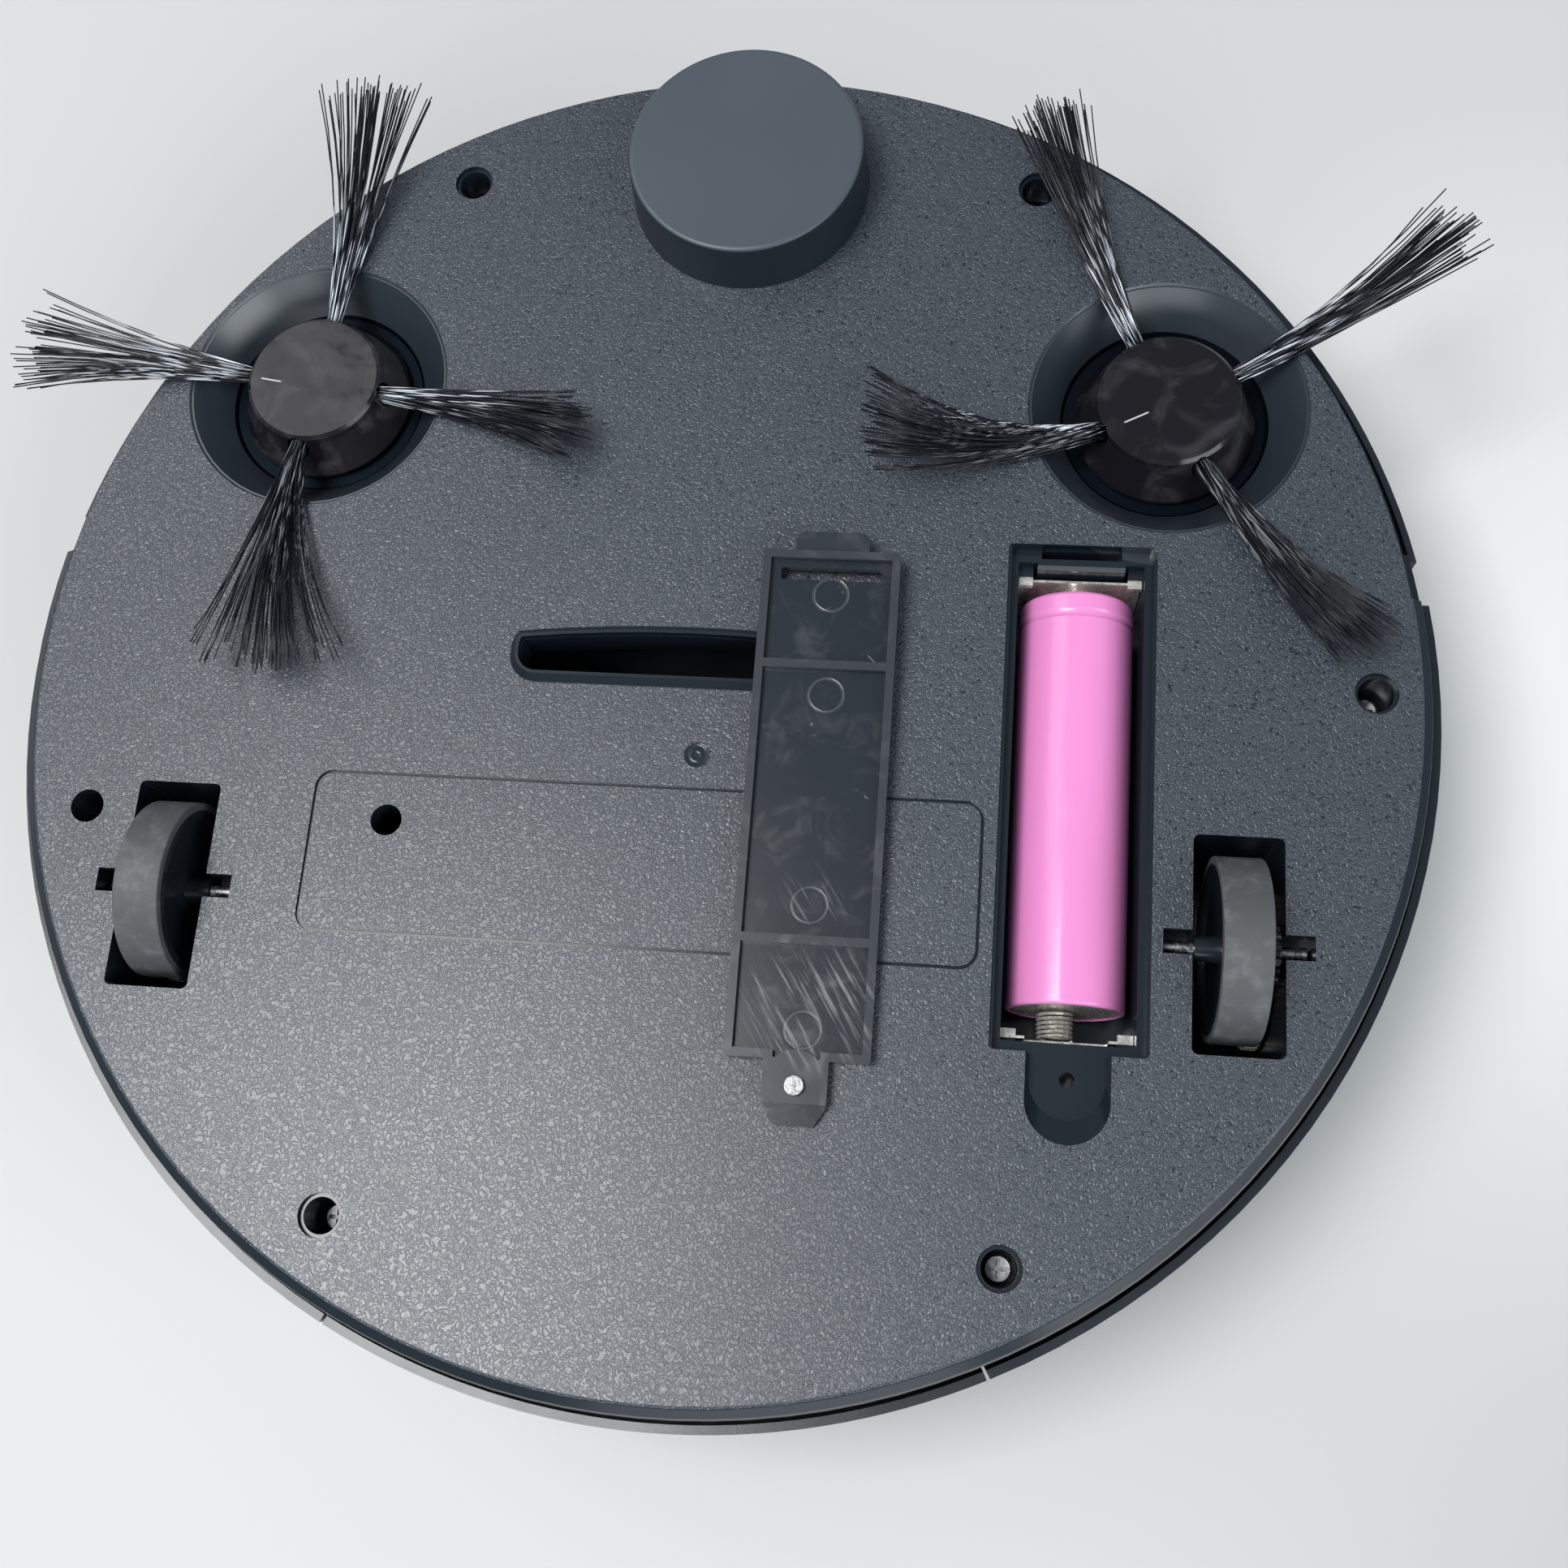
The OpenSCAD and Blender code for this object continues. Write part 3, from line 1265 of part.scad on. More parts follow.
module fan_impeller() {
    depth = 8;
    color("#d8d4c4") translate([0, fan_y + fan_case_l - 2.4, fan_h]) rotate([90, 0, 0]) {
        difference() {
            union() {
                cylinder(h = 1.2, r = impeller_r);
                cylinder(h = depth, r = 4);
                for (i = [0:impeller_blades - 1]) rotate(360 / impeller_blades * i)
                    translate([0, 0, 1]) intersection() {
                        translate([7.5, -4, 0]) ring(9.6, 8.8, depth - 1);
                        translate([3.4, 0, 0]) cube([impeller_r - 3.8, far, far]);
                        cylinder(h = far, r = impeller_r - 0.3);
                    }
            }
        }
        translate([0, 0, -14]) cylinder(h = 15, r = 1);
    }
}

// ---- Electrics and fasteners ----

module circuit_board() {
    color("#1f6b3a") difference() {
        translate([0, button_y, board_h]) block(board_w, board_l, board_t, 2);
        for (x = [-1, 1], y = [-1, 1])
            translate([x * (board_w / 2 - 4), button_y + y * (board_l / 2 - 3), 0]) cylinder(h = far, r = 1);
    }
    color(dark_plastic) {
        translate([0, button_y, board_h - 2]) block(6, 6, 2 + eps);
        translate([-14, button_y + 3, board_h + board_t - eps]) block(9, 9, 1.4);
        translate([15, button_y - 4, board_h + board_t - eps]) block(10, 6, 5);
        for (x = [5, 9]) translate([x, button_y + 5, board_h + board_t - eps]) cylinder(h = 6, r = 1.7);
    }
}

module charging_socket() {
    color(steel) translate([-skirt_in_r - 0.1, socket_y, socket_h - 1.6]) difference() {
        translate([0.1, -4.3, 0]) cube([9, 8.6, 3.2]);
        translate([-1, -3.7, 0.5]) cube([7, 7.4, 2.2]);
    }
}

module power_button() {
    color("#3b3f44") translate([0, button_y, 0]) {
        difference() {
            translate([0, 0, 0.3]) cylinder(h = wall_t, r = button_r);
            translate([0, 0, 0.3 - eps]) ring(button_r - 1.6, button_r - 2.2, 0.3);
        }
        translate([0, 0, wall_t + slide_gap]) cylinder(h = button_flange_t, r = button_r + 1.4);
        translate([0, 0, wall_t]) cylinder(h = board_h - 2 - button_travel - 0.1 - wall_t, r = 2);
    }
}

module case_screws() {
    color(steel) for (p = screw_places) translate([p[0], p[1], 0]) difference() {
        union() {
            translate([0, 0, screw_tip_h]) cylinder(h = head_seat_h - screw_tip_h + eps, r = screw_r);
            translate([0, 0, head_seat_h]) rotate_extrude() polygon([
                [0, 0], [screw_head_r, 0], [screw_head_r, head_h - 0.7],
                [screw_head_r - 0.7, head_h], [0, head_h]
            ]);
        }
        for (a = [0, 90]) translate([0, 0, head_seat_h + head_h - 0.9]) rotate(a) block(2.8, 0.6, 2);
    }
}

module at_brush(side) {
    translate([side * brush_x, brush_y, 0]) children();
}

base_shell();
top_shell();
bumper();
bumper_springs();
bumper_switches();
front_cap();
caster_yoke();
caster_wheel();
caster_axle();
at_brush(-1) brush_hub(left_brush_turn);  // left_brush_hub
at_brush(-1) brush_bristles(left_brush_turn, left_tufts);  // left_brush_bristles
at_brush(-1) brush_shaft();  // left_brush_shaft
at_brush(-1) brush_motor();  // left_brush_motor
at_brush(1) brush_hub(right_brush_turn);  // right_brush_hub
at_brush(1) brush_bristles(right_brush_turn, right_tufts);  // right_brush_bristles
at_brush(1) brush_shaft();  // right_brush_shaft
at_brush(1) brush_motor();  // right_brush_motor
mirrored(-1) wheel_hub();  // left_wheel_hub
mirrored(-1) tyre();  // left_tyre
mirrored(-1) wheel_axle();  // left_wheel_axle
mirrored(-1) idler_gear();  // left_idler_gear
mirrored(-1) idler_pin();  // left_idler_pin
mirrored(-1) motor_pinion();  // left_motor_pinion
mirrored(-1) drive_motor();  // left_drive_motor
wheel_hub();  // right_wheel_hub
tyre();  // right_tyre
wheel_axle();  // right_wheel_axle
idler_gear();  // right_idler_gear
idler_pin();  // right_idler_pin
motor_pinion();  // right_motor_pinion
drive_motor();  // right_drive_motor
battery_cell();
battery_terminal();
battery_spring();
spring_plate();
battery_contact();
battery_cover();
cover_screw();
dust_box();
dust_box_lid();
dust_box_face();
dust_filter();
fan_housing();
fan_motor();
fan_impeller();
circuit_board();
charging_socket();
power_button();
case_screws();
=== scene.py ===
"""Looks of a round robot vacuum lying on its back on a pale table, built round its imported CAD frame."""
import json
import math
import random

import bpy
from mathutils import Matrix, Vector


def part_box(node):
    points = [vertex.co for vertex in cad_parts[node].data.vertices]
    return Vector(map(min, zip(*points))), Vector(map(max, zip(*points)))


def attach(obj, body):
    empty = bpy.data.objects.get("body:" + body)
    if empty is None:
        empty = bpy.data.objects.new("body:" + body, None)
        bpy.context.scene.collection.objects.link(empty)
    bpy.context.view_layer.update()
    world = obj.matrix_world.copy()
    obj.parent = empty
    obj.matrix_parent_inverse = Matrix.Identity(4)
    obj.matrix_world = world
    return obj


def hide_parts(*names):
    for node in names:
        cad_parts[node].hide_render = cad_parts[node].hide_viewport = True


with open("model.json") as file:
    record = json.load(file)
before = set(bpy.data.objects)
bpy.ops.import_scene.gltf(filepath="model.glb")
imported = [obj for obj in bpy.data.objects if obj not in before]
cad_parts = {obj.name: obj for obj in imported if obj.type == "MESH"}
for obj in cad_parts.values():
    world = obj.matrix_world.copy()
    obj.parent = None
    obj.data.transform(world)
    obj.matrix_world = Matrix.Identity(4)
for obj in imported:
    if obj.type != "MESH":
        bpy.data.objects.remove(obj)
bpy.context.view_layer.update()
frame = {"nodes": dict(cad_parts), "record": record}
nodes = frame["nodes"]

MM = 0.001
UNDERSIDE = 46 * MM
# the right brush's axis; the left one mirrors it about x = 0
BRUSH_X, BRUSH_Y = 71.21 * MM, 48.4 * MM
# each hub turns in a round well, which starts at this depth inside a wider bowl
BRUSH_WELL_RADIUS, BRUSH_WELL_DEPTH = 16.9 * MM, 5 * MM
BRUSH_BOWL_RADIUS = 27 * MM
CAP_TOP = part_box("front_cap")[1].z
# the loose cover rises from its lowest corner, beside the end of its tongue, to its front on the mouth's lip
COVER_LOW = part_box("battery_cover")[0]
COVER_SLOPE = 0.02074

# marks on the surfaces, in millimetres
MOULDING_GATE = (-0.2, -14.3)
HUB_SCRATCHES = (((-80.5, 48.1), (-76.6, 47.5)), ((63.9, 43.9), (68.0, 46.0)))
COVER_EJECTOR_MARKS = ((19.1, 12.0), (19.4, -4.5), (19.1, -37.5), (19.4, -56.1))
COVER_NICK = ((25.5, 2.4), (27.0, 0.9))
# each spot of dirt: its place, its radius and how soft its edge is
COVER_DIRT = ((19.2, 10.0, 3.4, 1.5), (19.0, -8.0, 3.0, 1.5), (25.4, -21.0, 1.6, 0.8))


# ---- Finishes ----

class Value:
    """A shader socket that does arithmetic: each operator adds the Math node it needs."""

    def __init__(self, finish, socket):
        self.finish = finish
        self.socket = socket

    def __add__(self, other):
        return self.finish.maths("ADD", self, other)

    def __radd__(self, other):
        return self.finish.maths("ADD", other, self)

    def __sub__(self, other):
        return self.finish.maths("SUBTRACT", self, other)

    def __rsub__(self, other):
        return self.finish.maths("SUBTRACT", other, self)

    def __mul__(self, other):
        return self.finish.maths("MULTIPLY", self, other)

    def __rmul__(self, other):
        return self.finish.maths("MULTIPLY", other, self)

    def __gt__(self, other):
        return self.finish.maths("GREATER_THAN", self, other)

    def __lt__(self, other):
        return self.finish.maths("LESS_THAN", self, other)

    def __abs__(self):
        return self.finish.maths("ABSOLUTE", self)

    def fade(self, start, end):
        """0 before start and 1 after end, smooth between them."""
        return self.finish.node("ShaderNodeMapRange", {"Value": self, "From Min": start, "From Max": end},
                                out="Result", interpolation_type="SMOOTHSTEP")


class Finish:
    """One material: its Principled shader and the nodes that vary it over the surface.

    It starts with a plain colour and roughness, which stay where shade puts no nodes in their place.
    """

    def __init__(self, name, colour, roughness, **constants):
        self.material = bpy.data.materials.new(name)
        self.material.use_nodes = True
        self.tree = self.material.node_tree
        self.shader = self.tree.nodes["Principled BSDF"]
        self.shade(Base_Color=colour, Roughness=roughness, **constants)
        self.place = self.node("ShaderNodeTexCoord", out="Object")

    def plug(self, socket, value):
        """Links a Value to a socket, or sets the socket to a plain number, vector or colour."""
        if isinstance(value, Value):
            self.tree.links.new(value.socket, socket)
        elif socket.type == "RGBA":
            socket.default_value = (*value, 1)
        else:
            socket.default_value = value

    def shade(self, **values):
        """Gives the shader's sockets their values; an underscore stands for a space in a socket's name."""
        for name, value in values.items():
            self.plug(self.shader.inputs[name.replace("_", " ")], value)

    def node(self, kind, sockets=None, out=0, **settings):
        """Adds a node, sets it up, then gives its sockets, by name or number, their values."""
        node = self.tree.nodes.new(kind)
        for name, setting in settings.items():
            setattr(node, name, setting)
        for key, value in (sockets or {}).items():
            self.plug(node.inputs[key], value)
        return Value(self, node.outputs[out])

    def maths(self, operation, *terms):
        return self.node("ShaderNodeMath", dict(enumerate(terms)), operation=operation)

    def blend_colour(self, mask, first, second):
        """The first colour where the mask is 0, the second where it is 1."""
        # a Mix node has sockets of the same name for numbers and for colours, so these go by number
        return self.node("ShaderNodeMix", {0: mask, 6: first, 7: second}, out=2, data_type="RGBA")

    def axes(self, at=None):
        """The three coordinates of the place, in metres."""
        split = self.node("ShaderNodeSeparateXYZ", {"Vector": at or self.place})
        return [Value(self, socket) for socket in split.socket.node.outputs]

    def height(self):
        """How high the place is, in metres."""
        return self.axes()[2]

    def from_axes(self, x, y, z=0.0):
        """A place made of three coordinates."""
        return self.node("ShaderNodeCombineXYZ", {"X": x, "Y": y, "Z": z})

    def length(self, vector):
        return self.node("ShaderNodeVectorMath", {"Vector": vector}, out="Value", operation="LENGTH")

    def noise(self, scale, detail=2.0, roughness=0.5, distortion=0.0, at=None):
        return self.node("ShaderNodeTexNoise", {"Vector": at or self.place, "Scale": scale, "Detail": detail,
                                                "Roughness": roughness, "Distortion": distortion}, out="Fac")

    def reach(self, x, y):
        """Distance, in millimetres, from the upright axis through a place given in millimetres."""
        return self.length(self.node("ShaderNodeMapping", {
            "Vector": self.place, "Location": (-x, -y, 0), "Scale": (1 / MM, 1 / MM, 0)}))

    def ring(self, x, y, radius, width):
        """1 on a circle's line and 0 away from it."""
        return 1 - abs(self.reach(x, y) - radius).fade(width * 0.4, width)

    def disc(self, x, y, radius, soft=0.3):
        """1 inside a circle and 0 outside it, with a soft edge."""
        return 1 - self.reach(x, y).fade(radius - soft, radius + soft)

    def stroke(self, start, end, width):
        """1 on a straight scratch between two places given in millimetres."""
        (ax, ay), (bx, by) = start, end
        middle = ((ax + bx) / 2 * MM, (ay + by) / 2 * MM, 0)
        along, across, _ = self.axes(self.node("ShaderNodeMapping", {
            "Vector": self.place, "Location": middle, "Scale": (MM, MM, 1),
            "Rotation": (0, 0, math.atan2(by - ay, bx - ax))}, vector_type="TEXTURE"))
        length = math.hypot(bx - ax, by - ay)
        within_ends = 1 - abs(along).fade(length * 0.4, length * 0.5)
        return within_ends * (1 - abs(across).fade(width * 0.3, width * 0.6))

    def relief(self, height, distance):
        """Raises the surface by height times distance, in metres."""
        self.shade(Normal=self.node("ShaderNodeBump", {"Height": height, "Distance": distance}, out="Normal"))


def moulded_plastic(name, colour, roughness):
    """Smooth injection-moulded plastic with a faint unevenness in its gloss."""
    finish = Finish(name, colour, roughness)
    cloud = finish.noise(60, 3).fade(0.2, 0.8)
    finish.shade(Roughness=cloud * 0.12 + (roughness - 0.06))
    finish.relief(finish.noise(2500), 0.01 * MM)
    return finish


def brush_reach(finish):
    """Distance, in metres, from the nearer brush axis."""
    x, y, _ = finish.axes()
    return finish.length(finish.from_axes(abs(x) - BRUSH_X, y - BRUSH_Y))


def leather_plate():
    """Black moulded plate: leather grain on its flat face with painted shade in its creases; plain satin in
    the wells, bowls and bays, with painted shade in the recesses and wells and painted light on the bowls.
    """
    finish = Finish("underside_plate", (0.045, 0.051, 0.061), 0.34, Coat_Roughness=0.34)
    z = finish.height()
    gate = finish.disc(*MOULDING_GATE, 2.1)
    skin = 0.12 * MM
    face = (z > UNDERSIDE - skin) * (z < UNDERSIDE + skin) * (1 - gate)
    winding = abs(finish.noise(1450, 0.0, distortion=0.8) - 0.5)
    pebbles = winding.fade(0.0, 0.2)
    shaded_crease = 1 - winding.fade(0.0, 0.04)
    pores = finish.noise(3400, 1).fade(0.3, 0.7)
    gate_marks = finish.ring(*MOULDING_GATE, 1.9, 0.35) + finish.ring(*MOULDING_GATE, 0.8, 0.4)
    finish.relief((pebbles * 0.85 + pores * 0.15) * face + gate_marks * 0.7, 0.075 * MM)
    patches = finish.noise(16).fade(0.3, 0.7)
    reach = brush_reach(finish)
    # the floors round the hubs, deep in their wells, get the darkest colour and turn metallic: painted shade
    shaded_well = (reach < BRUSH_WELL_RADIUS) * (z < UNDERSIDE - BRUSH_WELL_DEPTH)
    lit_bowl = (reach < BRUSH_BOWL_RADIUS) * (1 - face) * (1 - shaded_well)
    # the grain's creases get a near-black colour: painted shade
    grained = finish.blend_colour(shaded_crease, (0.044, 0.054, 0.068), (0.003, 0.006, 0.010))
    # smooth walls and floors are painted darker than the grain as painted shade in the recesses; the bowls'
    # cones are painted lighter as painted light
    smooth = finish.blend_colour(lit_bowl, (0.010, 0.016, 0.023), (0.018, 0.026, 0.035))
    smooth = finish.blend_colour(shaded_well, smooth, (0.007, 0.011, 0.016))
    finish.shade(
        Base_Color=finish.blend_colour(face, smooth, grained),
        Roughness=face * (patches * 0.05 + 0.28) + (1 - face) * 0.2 + shaded_well * 0.3 + lit_bowl * 0.1,
        Metallic=shaded_well,
        Coat_Weight=face * (0.6 - shaded_crease * 0.4) + lit_bowl)
    return finish


def hub_gloss():
    """Glossy moulding with a wavy skin and one short scratch on each hub's top."""
    finish = Finish("glossy_hub", (0.012, 0.013, 0.016), 0.16, Specular_IOR_Level=0.45)
    smears = finish.noise(120, 3, 0.55, distortion=0.9).fade(0.45, 0.8)
    scratches = sum(finish.stroke(start, end, 0.3) for start, end in HUB_SCRATCHES)
    cloudy = finish.blend_colour(smears, (0.007, 0.006, 0.009), (0.052, 0.048, 0.056))
    finish.shade(Base_Color=finish.blend_colour(scratches, cloudy, (0.5, 0.5, 0.52)),
                 Roughness=smears * 0.14 + 0.13 + scratches * 0.3)
    finish.relief(finish.noise(95, 1, distortion=0.4) + finish.noise(420, 1) * 0.05, 0.55 * MM)
    return finish


def scuffed_cover():
    """Inner side of the battery cover: dark and glossy, with ejector circles, rub marks partly lightened as a
    painted sheen, handling dirt, and wall tops painted lighter as a painted highlight.
    """
    finish = Finish("cover_plastic", (0.02, 0.023, 0.028), 0.3, Specular_IOR_Level=0.65)
    x, y, z = finish.axes()
    circles = sum(finish.ring(*mark, 2.7, 0.3) for mark in COVER_EJECTOR_MARKS)
    # pale diagonal streaks in two rubbed patches: partly real rub marks, partly painted sheen
    rub_and_sheen_patches = finish.disc(20.5, -52.5, 8.5, 3.5) + finish.disc(19.3, -36.5, 4.5, 2.0) * 0.5
    across, along = x * 0.84 + y * 0.54, x * 0.54 - y * 0.84
    streaks = finish.from_axes(across * 1500, along * 90, z * 300)
    rub_marks_and_sheen = finish.noise(1.0, 3, 0.6, at=streaks).fade(0.5, 0.8) * rub_and_sheen_patches
    smudges = finish.noise(170, 3, 0.6, distortion=0.8).fade(0.5, 0.78)
    dirt = finish.noise(420, 3, 0.7).fade(0.62, 0.72) * sum(finish.disc(*spot) for spot in COVER_DIRT)
    nick = finish.stroke(*COVER_NICK, 0.25)
    pale = smudges * 0.04 + rub_marks_and_sheen * 0.45 + dirt * 0.35 + circles * 0.09 + nick * 0.3
    # the tops of the walls and ribs get a lighter colour than the pocket floor: painted highlight
    above_base = z - COVER_LOW.z - (y - COVER_LOW.y) * COVER_SLOPE
    lit_rims = above_base.fade(1.5 * MM, 2.1 * MM)
    plain = finish.blend_colour(lit_rims, (0.012, 0.017, 0.024), (0.034, 0.040, 0.048))
    finish.shade(Base_Color=finish.blend_colour(pale, plain, (0.42, 0.43, 0.44)),
                 Roughness=smudges * 0.08 + rub_marks_and_sheen * 0.2 + 0.2)
    finish.relief(finish.noise(60) * 1.5 - circles, 0.05 * MM)
    return finish


def cap_satin():
    """Satin cap whose side wall is painted darker than its flat top: painted light and shade."""
    finish = Finish("cap_satin", (0.060, 0.070, 0.082), 0.42)
    z = finish.height()
    # the flat top gets a lighter colour than the side wall: painted light on the top, painted shade on the
    # side
    top = z.fade(CAP_TOP - 0.5 * MM, CAP_TOP - 0.1 * MM)
    finish.shade(Base_Color=finish.blend_colour(top, (0.008, 0.017, 0.026), (0.062, 0.077, 0.094)),
                 Roughness=finish.noise(40).fade(0.3, 0.7) * 0.08 + 0.38)
    finish.relief(finish.noise(1800), 0.01 * MM)
    return finish


def tyre_rubber():
    """Dull grey rubber with fine dust on it."""
    finish = Finish("tyre_rubber", (0.09, 0.095, 0.1), 0.6)
    dust = finish.noise(300, 4, 0.65).fade(0.45, 0.75)
    finish.shade(Base_Color=finish.blend_colour(dust, (0.075, 0.080, 0.085), (0.125, 0.132, 0.138)))
    finish.relief(finish.noise(3000), 0.03 * MM)
    return finish


def bare_metal(name, colour, roughness, marks=1400, metallic=1.0, dull=0.45):
    """Unpainted metal with fine marks, in which its colour falls to the share called dull."""
    finish = Finish(name, colour, roughness, Metallic=metallic)
    mottle = finish.noise(marks, 3, 0.6).fade(0.35, 0.65)
    finish.shade(Base_Color=finish.blend_colour(mottle, [share * dull for share in colour], colour),
                 Roughness=mottle * 0.16 + (roughness - 0.06))
    finish.relief(finish.noise(marks * 1.5), 0.03 * MM)
    return finish


def pink_wrap():
    """Glossy shrink wrap of the cell, slightly wavy and left bare."""
    finish = Finish("pink_wrap", (0.82, 0.27, 0.60), 0.3, Coat_Weight=0.25, Coat_Roughness=0.1)
    finish.shade(Roughness=finish.noise(220).fade(0.4, 0.7) * 0.06 + 0.2)
    finish.relief(finish.noise(120, distortion=0.5), 0.06 * MM)
    return finish


def nylon():
    """Near-black bristles, some of them with painted glints along their length near the roots."""
    finish = Finish("nylon_bristle", (0.004, 0.006, 0.010), 0.24, Specular_IOR_Level=0.4)
    x, y, z = finish.axes()
    reach = brush_reach(finish)
    angle = finish.maths("ARCTAN2", y - BRUSH_Y, abs(x) - BRUSH_X)
    along = finish.from_axes(angle * 90, reach * 90, z * 400)
    # pale streaks along the strands near the roots, fuller on the tufts above the hub's axis: painted glints
    painted_glint = finish.noise(1.0, 1, at=along).fade(0.54, 0.6) * (1 - reach.fade(18 * MM, 46 * MM))
    painted_glint = painted_glint * (0.3 + (y > BRUSH_Y - 6 * MM) * 0.7)
    finish.shade(Base_Color=finish.blend_colour(painted_glint, (0.004, 0.006, 0.010), (0.75, 0.80, 0.86)),
                 Roughness=finish.noise(700, 1).fade(0.3, 0.7) * 0.16 + 0.16)
    return finish


def board_mask():
    """Green solder mask with tracks that run along the board."""
    finish = Finish("circuit_board", (0.02, 0.16, 0.06), 0.35)
    x, y, z = finish.axes()
    tracks = finish.noise(1.0, 1, at=finish.from_axes(x * 500, y * 90, z * 500)).fade(0.5, 0.52)
    finish.shade(Base_Color=finish.blend_colour(tracks, (0.012, 0.11, 0.04), (0.03, 0.2, 0.08)))
    return finish


def filter_paper():
    """Off-white fibrous paper."""
    finish = Finish("filter_paper", (0.76, 0.74, 0.68), 0.9)
    fibres = finish.noise(500, 4).fade(0.3, 0.7)
    finish.shade(Base_Color=finish.blend_colour(fibres, (0.70, 0.68, 0.62), (0.8, 0.79, 0.74)))
    finish.relief(finish.noise(2500, 4, 0.7), 0.08 * MM)
    return finish


# the finish of each of the record's material slots
finishes = {
    "black_abs": leather_plate(),
    "satin_grey": cap_satin(),
    "gloss_black": hub_gloss(),
    "cover_black": scuffed_cover(),
    "dark_plastic": moulded_plastic("shell_plastic", (0.012, 0.017, 0.023), 0.24),
    "bristle_nylon": nylon(),
    "tyre_rubber": tyre_rubber(),
    "steel": bare_metal("steel", (0.42, 0.42, 0.43), 0.38),
    "nickel": bare_metal("nickel", (0.95, 0.91, 0.84), 0.2, marks=900, metallic=0.65, dull=0.75),
    "pink_wrap": pink_wrap(),
    "natural_plastic": moulded_plastic("gear_plastic", (0.74, 0.71, 0.62), 0.4),
    "motor_metal": bare_metal("motor_can", (0.5, 0.5, 0.52), 0.34),
    "filter_paper": filter_paper(),
    "board_green": board_mask(),
}


def finish_cad_nodes():
    """Gives each CAD node the finish of its slot."""
    for part in frame["record"]["subparts"]:
        mesh = nodes[part["node"]].data
        mesh.materials.clear()
        mesh.materials.append(finishes[part["material_slot"]].material)


# ---- Side brushes, in millimetres and degrees ----

STRAND_RADIUS = 0.15
STRAND_LENGTHS = 6
ROOT_REACH, ROOT_HEIGHT = 9.2, 45.8
BEND_REACH, BEND_HEIGHT = 30, 48.2
TIP_HEIGHT = 52.4

# each tuft: direction of its root and of the fan's two edges, nearest and furthest tip, number of strands
LEFT_TUFTS = (
    (82.5, 75, 95, 53, 57, 66), (172.5, 165, 187, 46, 51.5, 70),
    (-7.5, -19, -5, 46, 51.5, 62), (-97.5, -103, -75, 50, 55, 68))
RIGHT_TUFTS = (
    (117, 106, 119.5, 54, 58, 66), (27, 27, 40, 50, 57.5, 68),
    (-153, -181, -158, 47, 50.5, 66), (-63, -61.5, -49, 50, 54, 66))


def deselect():
    for obj in bpy.context.selected_objects:
        obj.select_set(False)


def one_bristle():
    """A five-sided strand along +X, one metre long, cut into short lengths so that it can curve."""
    deselect()
    bpy.ops.mesh.primitive_cone_add(vertices=5, radius1=1.0, radius2=0.75, depth=1.0, location=(0.5, 0, 0),
                                    rotation=(0, math.pi / 2, 0))
    strand = bpy.context.object
    bpy.ops.object.transform_apply()
    bpy.ops.object.mode_set(mode="EDIT")
    for cut in range(1, STRAND_LENGTHS):
        bpy.ops.mesh.select_all(action="SELECT")
        bpy.ops.mesh.bisect(plane_co=(cut / STRAND_LENGTHS, 0, 0), plane_no=(1, 0, 0))
    bpy.ops.object.mode_set(mode="OBJECT")
    return strand


def curved_copy(strand, start, bend, end):
    """A copy of the strand laid along the curve start - bend - end."""
    copy = strand.copy()
    copy.data = strand.data.copy()
    bpy.context.collection.objects.link(copy)
    for vertex in copy.data.vertices:
        t = vertex.co.x
        spot = start * (1 - t) ** 2 + bend * (2 * t * (1 - t)) + end * t ** 2
        along = ((bend - start) * (1 - t) + (end - bend) * t).normalized()
        side = along.cross(Vector((0, 0, 1))).normalized()
        vertex.co = spot + (side * vertex.co.y + along.cross(side) * vertex.co.z) * STRAND_RADIUS * MM
    return copy


def polar(centre, angle, reach, height):
    """A place by its direction and distance from an upright axis, and its height."""
    turn = math.radians(angle)
    x, y = reach * math.cos(turn), reach * math.sin(turn)
    return Vector((centre[0] + x * MM, centre[1] + y * MM, height * MM))


def brush_tufts(side, tufts, seed):
    """Four fans of nylon bristles, fixed in the sockets of a brush hub."""
    chance = random.Random(seed)
    centre = (BRUSH_X if side == "right" else -BRUSH_X, BRUSH_Y)
    strand = one_bristle()
    strands = []
    for root, low, high, near, far, count in tufts:
        middle, half = (low + high) / 2, (high - low) / 2
        sideways = Vector((-math.sin(math.radians(root)), math.cos(math.radians(root)), 0))
        for _ in range(count):
            spread = max(-1.0, min(1.0, chance.gauss(0, 0.55)))
            tip_angle = middle + spread * half
            tip_reach = chance.uniform(near, far) - abs(spread) * 1.5
            across = sideways * (spread * 0.9 + chance.uniform(-0.5, 0.5)) * MM
            level = chance.uniform(-1, 1)
            start = polar(centre, root, ROOT_REACH, ROOT_HEIGHT + level * 0.8) + across * 0.8
            bend_angle = root + (tip_angle - root) * 0.22
            bend_height = BEND_HEIGHT + level * 1.2 + chance.uniform(-0.5, 0.5)
            bend = polar(centre, bend_angle, BEND_REACH, bend_height) + across * 1.1
            tip = polar(centre, tip_angle + chance.uniform(-1.2, 1.2), tip_reach,
                        TIP_HEIGHT + level * 1.3 + chance.uniform(-0.8, 0.8))
            strands.append(curved_copy(strand, start, bend, tip))
    bpy.data.objects.remove(strand)
    deselect()
    for piece in strands:
        piece.select_set(True)
    bpy.context.view_layer.objects.active = strands[0]
    bpy.ops.object.join()
    tuft = bpy.context.object
    tuft.name = side + "_bristle_fans"
    tuft.data.materials.append(finishes["bristle_nylon"].material)
    bpy.ops.object.shade_smooth()
    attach(tuft, side + "_brush")
    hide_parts(side + "_brush_bristles")


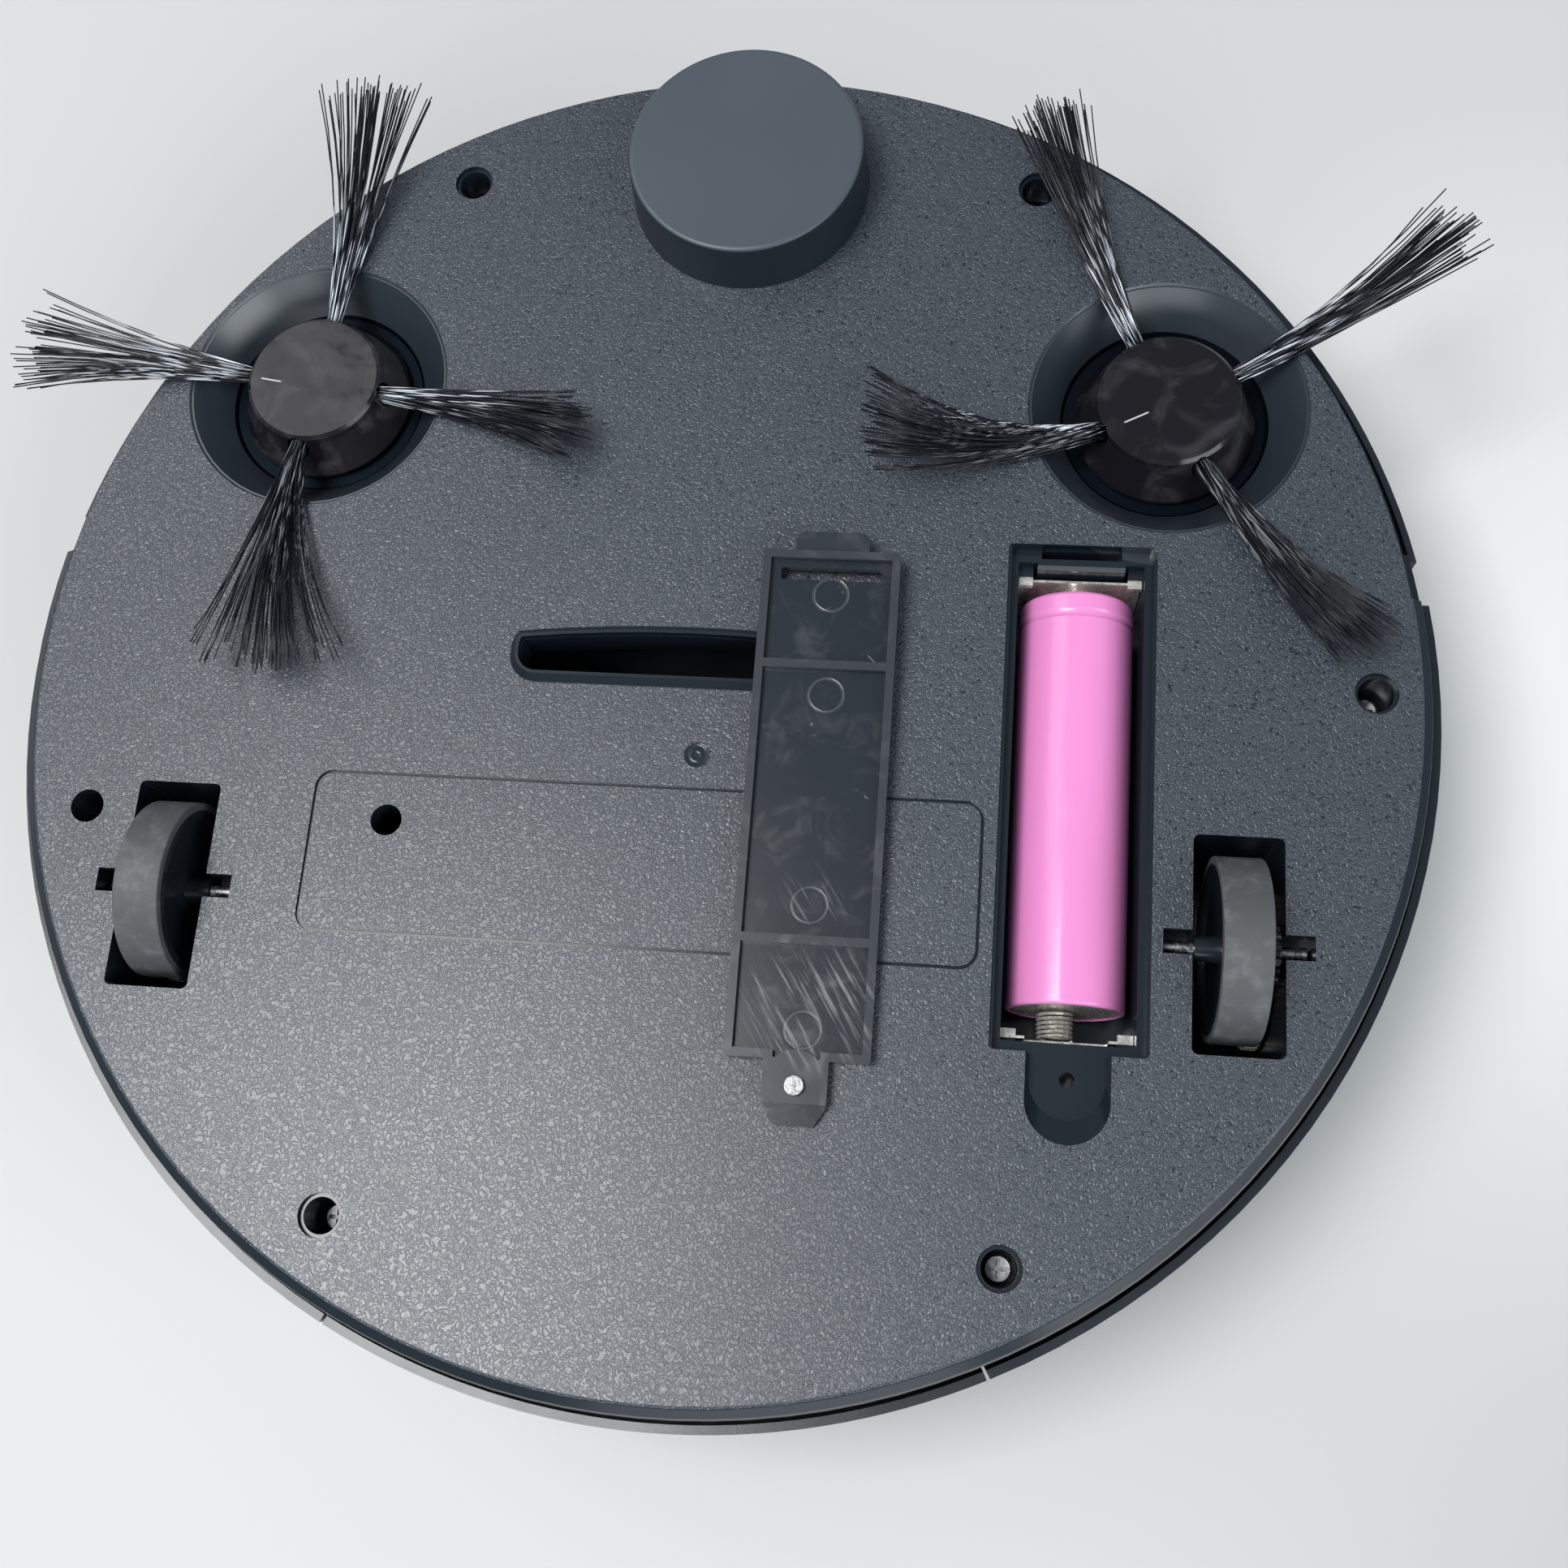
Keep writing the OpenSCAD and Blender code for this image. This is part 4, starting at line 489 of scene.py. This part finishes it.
# ---- Camera, table and lights ----

def camera():
    """Looks down on the underside, slightly from the rear right."""
    data = bpy.data.cameras.new("camera")
    data.sensor_width = 36
    data.lens = 38.19
    data.clip_start = 0.01
    obj = bpy.data.objects.new("camera", data)
    bpy.context.collection.objects.link(obj)
    # the view's own directions, in the object's frame
    right = Vector((0.99341, 0.07566, -0.08608))
    down = Vector((0.04905, -0.95953, -0.27731))
    forward = Vector((-0.10358, 0.27126, -0.95692))
    turn = Matrix((right, -down, -forward)).transposed().to_4x4()
    obj.matrix_world = Matrix.Translation(Vector((40.36, -87.83, 291.3)) * MM) @ turn
    bpy.context.scene.camera = obj


def table():
    """Pale table top, with painted light to the right of the robot and painted shade at its near right."""
    deselect()
    bpy.ops.mesh.primitive_plane_add(size=6)
    floor = bpy.context.object
    floor.name = "table_top"
    finish = Finish("table_top", (0.60, 0.605, 0.60), 0.6)
    # a painted pool of light to the robot's right
    right = 1 - finish.reach(165, 10).fade(10, 150)
    # painted shade at the robot's near right
    near = 1 - finish.reach(190, -150).fade(20, 150)
    floor_with_painted_light = finish.blend_colour(right, (0.60, 0.605, 0.60), (0.76, 0.765, 0.76))
    finish.shade(Base_Color=finish.blend_colour(near, floor_with_painted_light, (0.49, 0.495, 0.49)))
    floor.data.materials.append(finish.material)


def area_light(name, spot, aim, size, watts, colour=(1, 1, 1)):
    """A rectangular lamp at a spot, turned towards its aim, in metres."""
    data = bpy.data.lights.new(name, "AREA")
    data.shape = "RECTANGLE"
    data.size, data.size_y = size
    data.energy = watts
    data.color = colour
    obj = bpy.data.objects.new(name, data)
    bpy.context.collection.objects.link(obj)
    obj.location = spot
    obj.rotation_euler = (Vector(aim) - Vector(spot)).to_track_quat("-Z", "Y").to_euler()


def lighting():
    """Soft panels above the robot, two cool windows beside it and a pale room."""
    middle = (0, 0, 0.04)
    daylight = (0.93, 0.97, 1.0)
    area_light("ceiling_panel", (-0.46, -0.15, 1.25), (-0.06, -0.02, 0.04), (0.66, 0.56), 14.5)
    area_light("far_softbox", (-0.74, 0.52, 1.15), middle, (0.6, 0.6), 2.0)
    area_light("right_window", (1.05, -0.74, 0.87), middle, (1.2, 0.7), 10.0, daylight)
    area_light("near_window", (0.12, -1.36, 0.74), middle, (1.0, 0.5), 3.5, daylight)
    world = bpy.data.worlds.new("room")
    bpy.context.scene.world = world
    world.use_nodes = True
    background = world.node_tree.nodes["Background"]
    background.inputs["Color"].default_value = (0.82, 0.91, 1.0, 1)
    background.inputs["Strength"].default_value = 0.28


finish_cad_nodes()
brush_tufts("left", LEFT_TUFTS, seed=4)
brush_tufts("right", RIGHT_TUFTS, seed=9)
camera()
table()
lighting()
bpy.context.scene.view_settings.view_transform = "Standard"
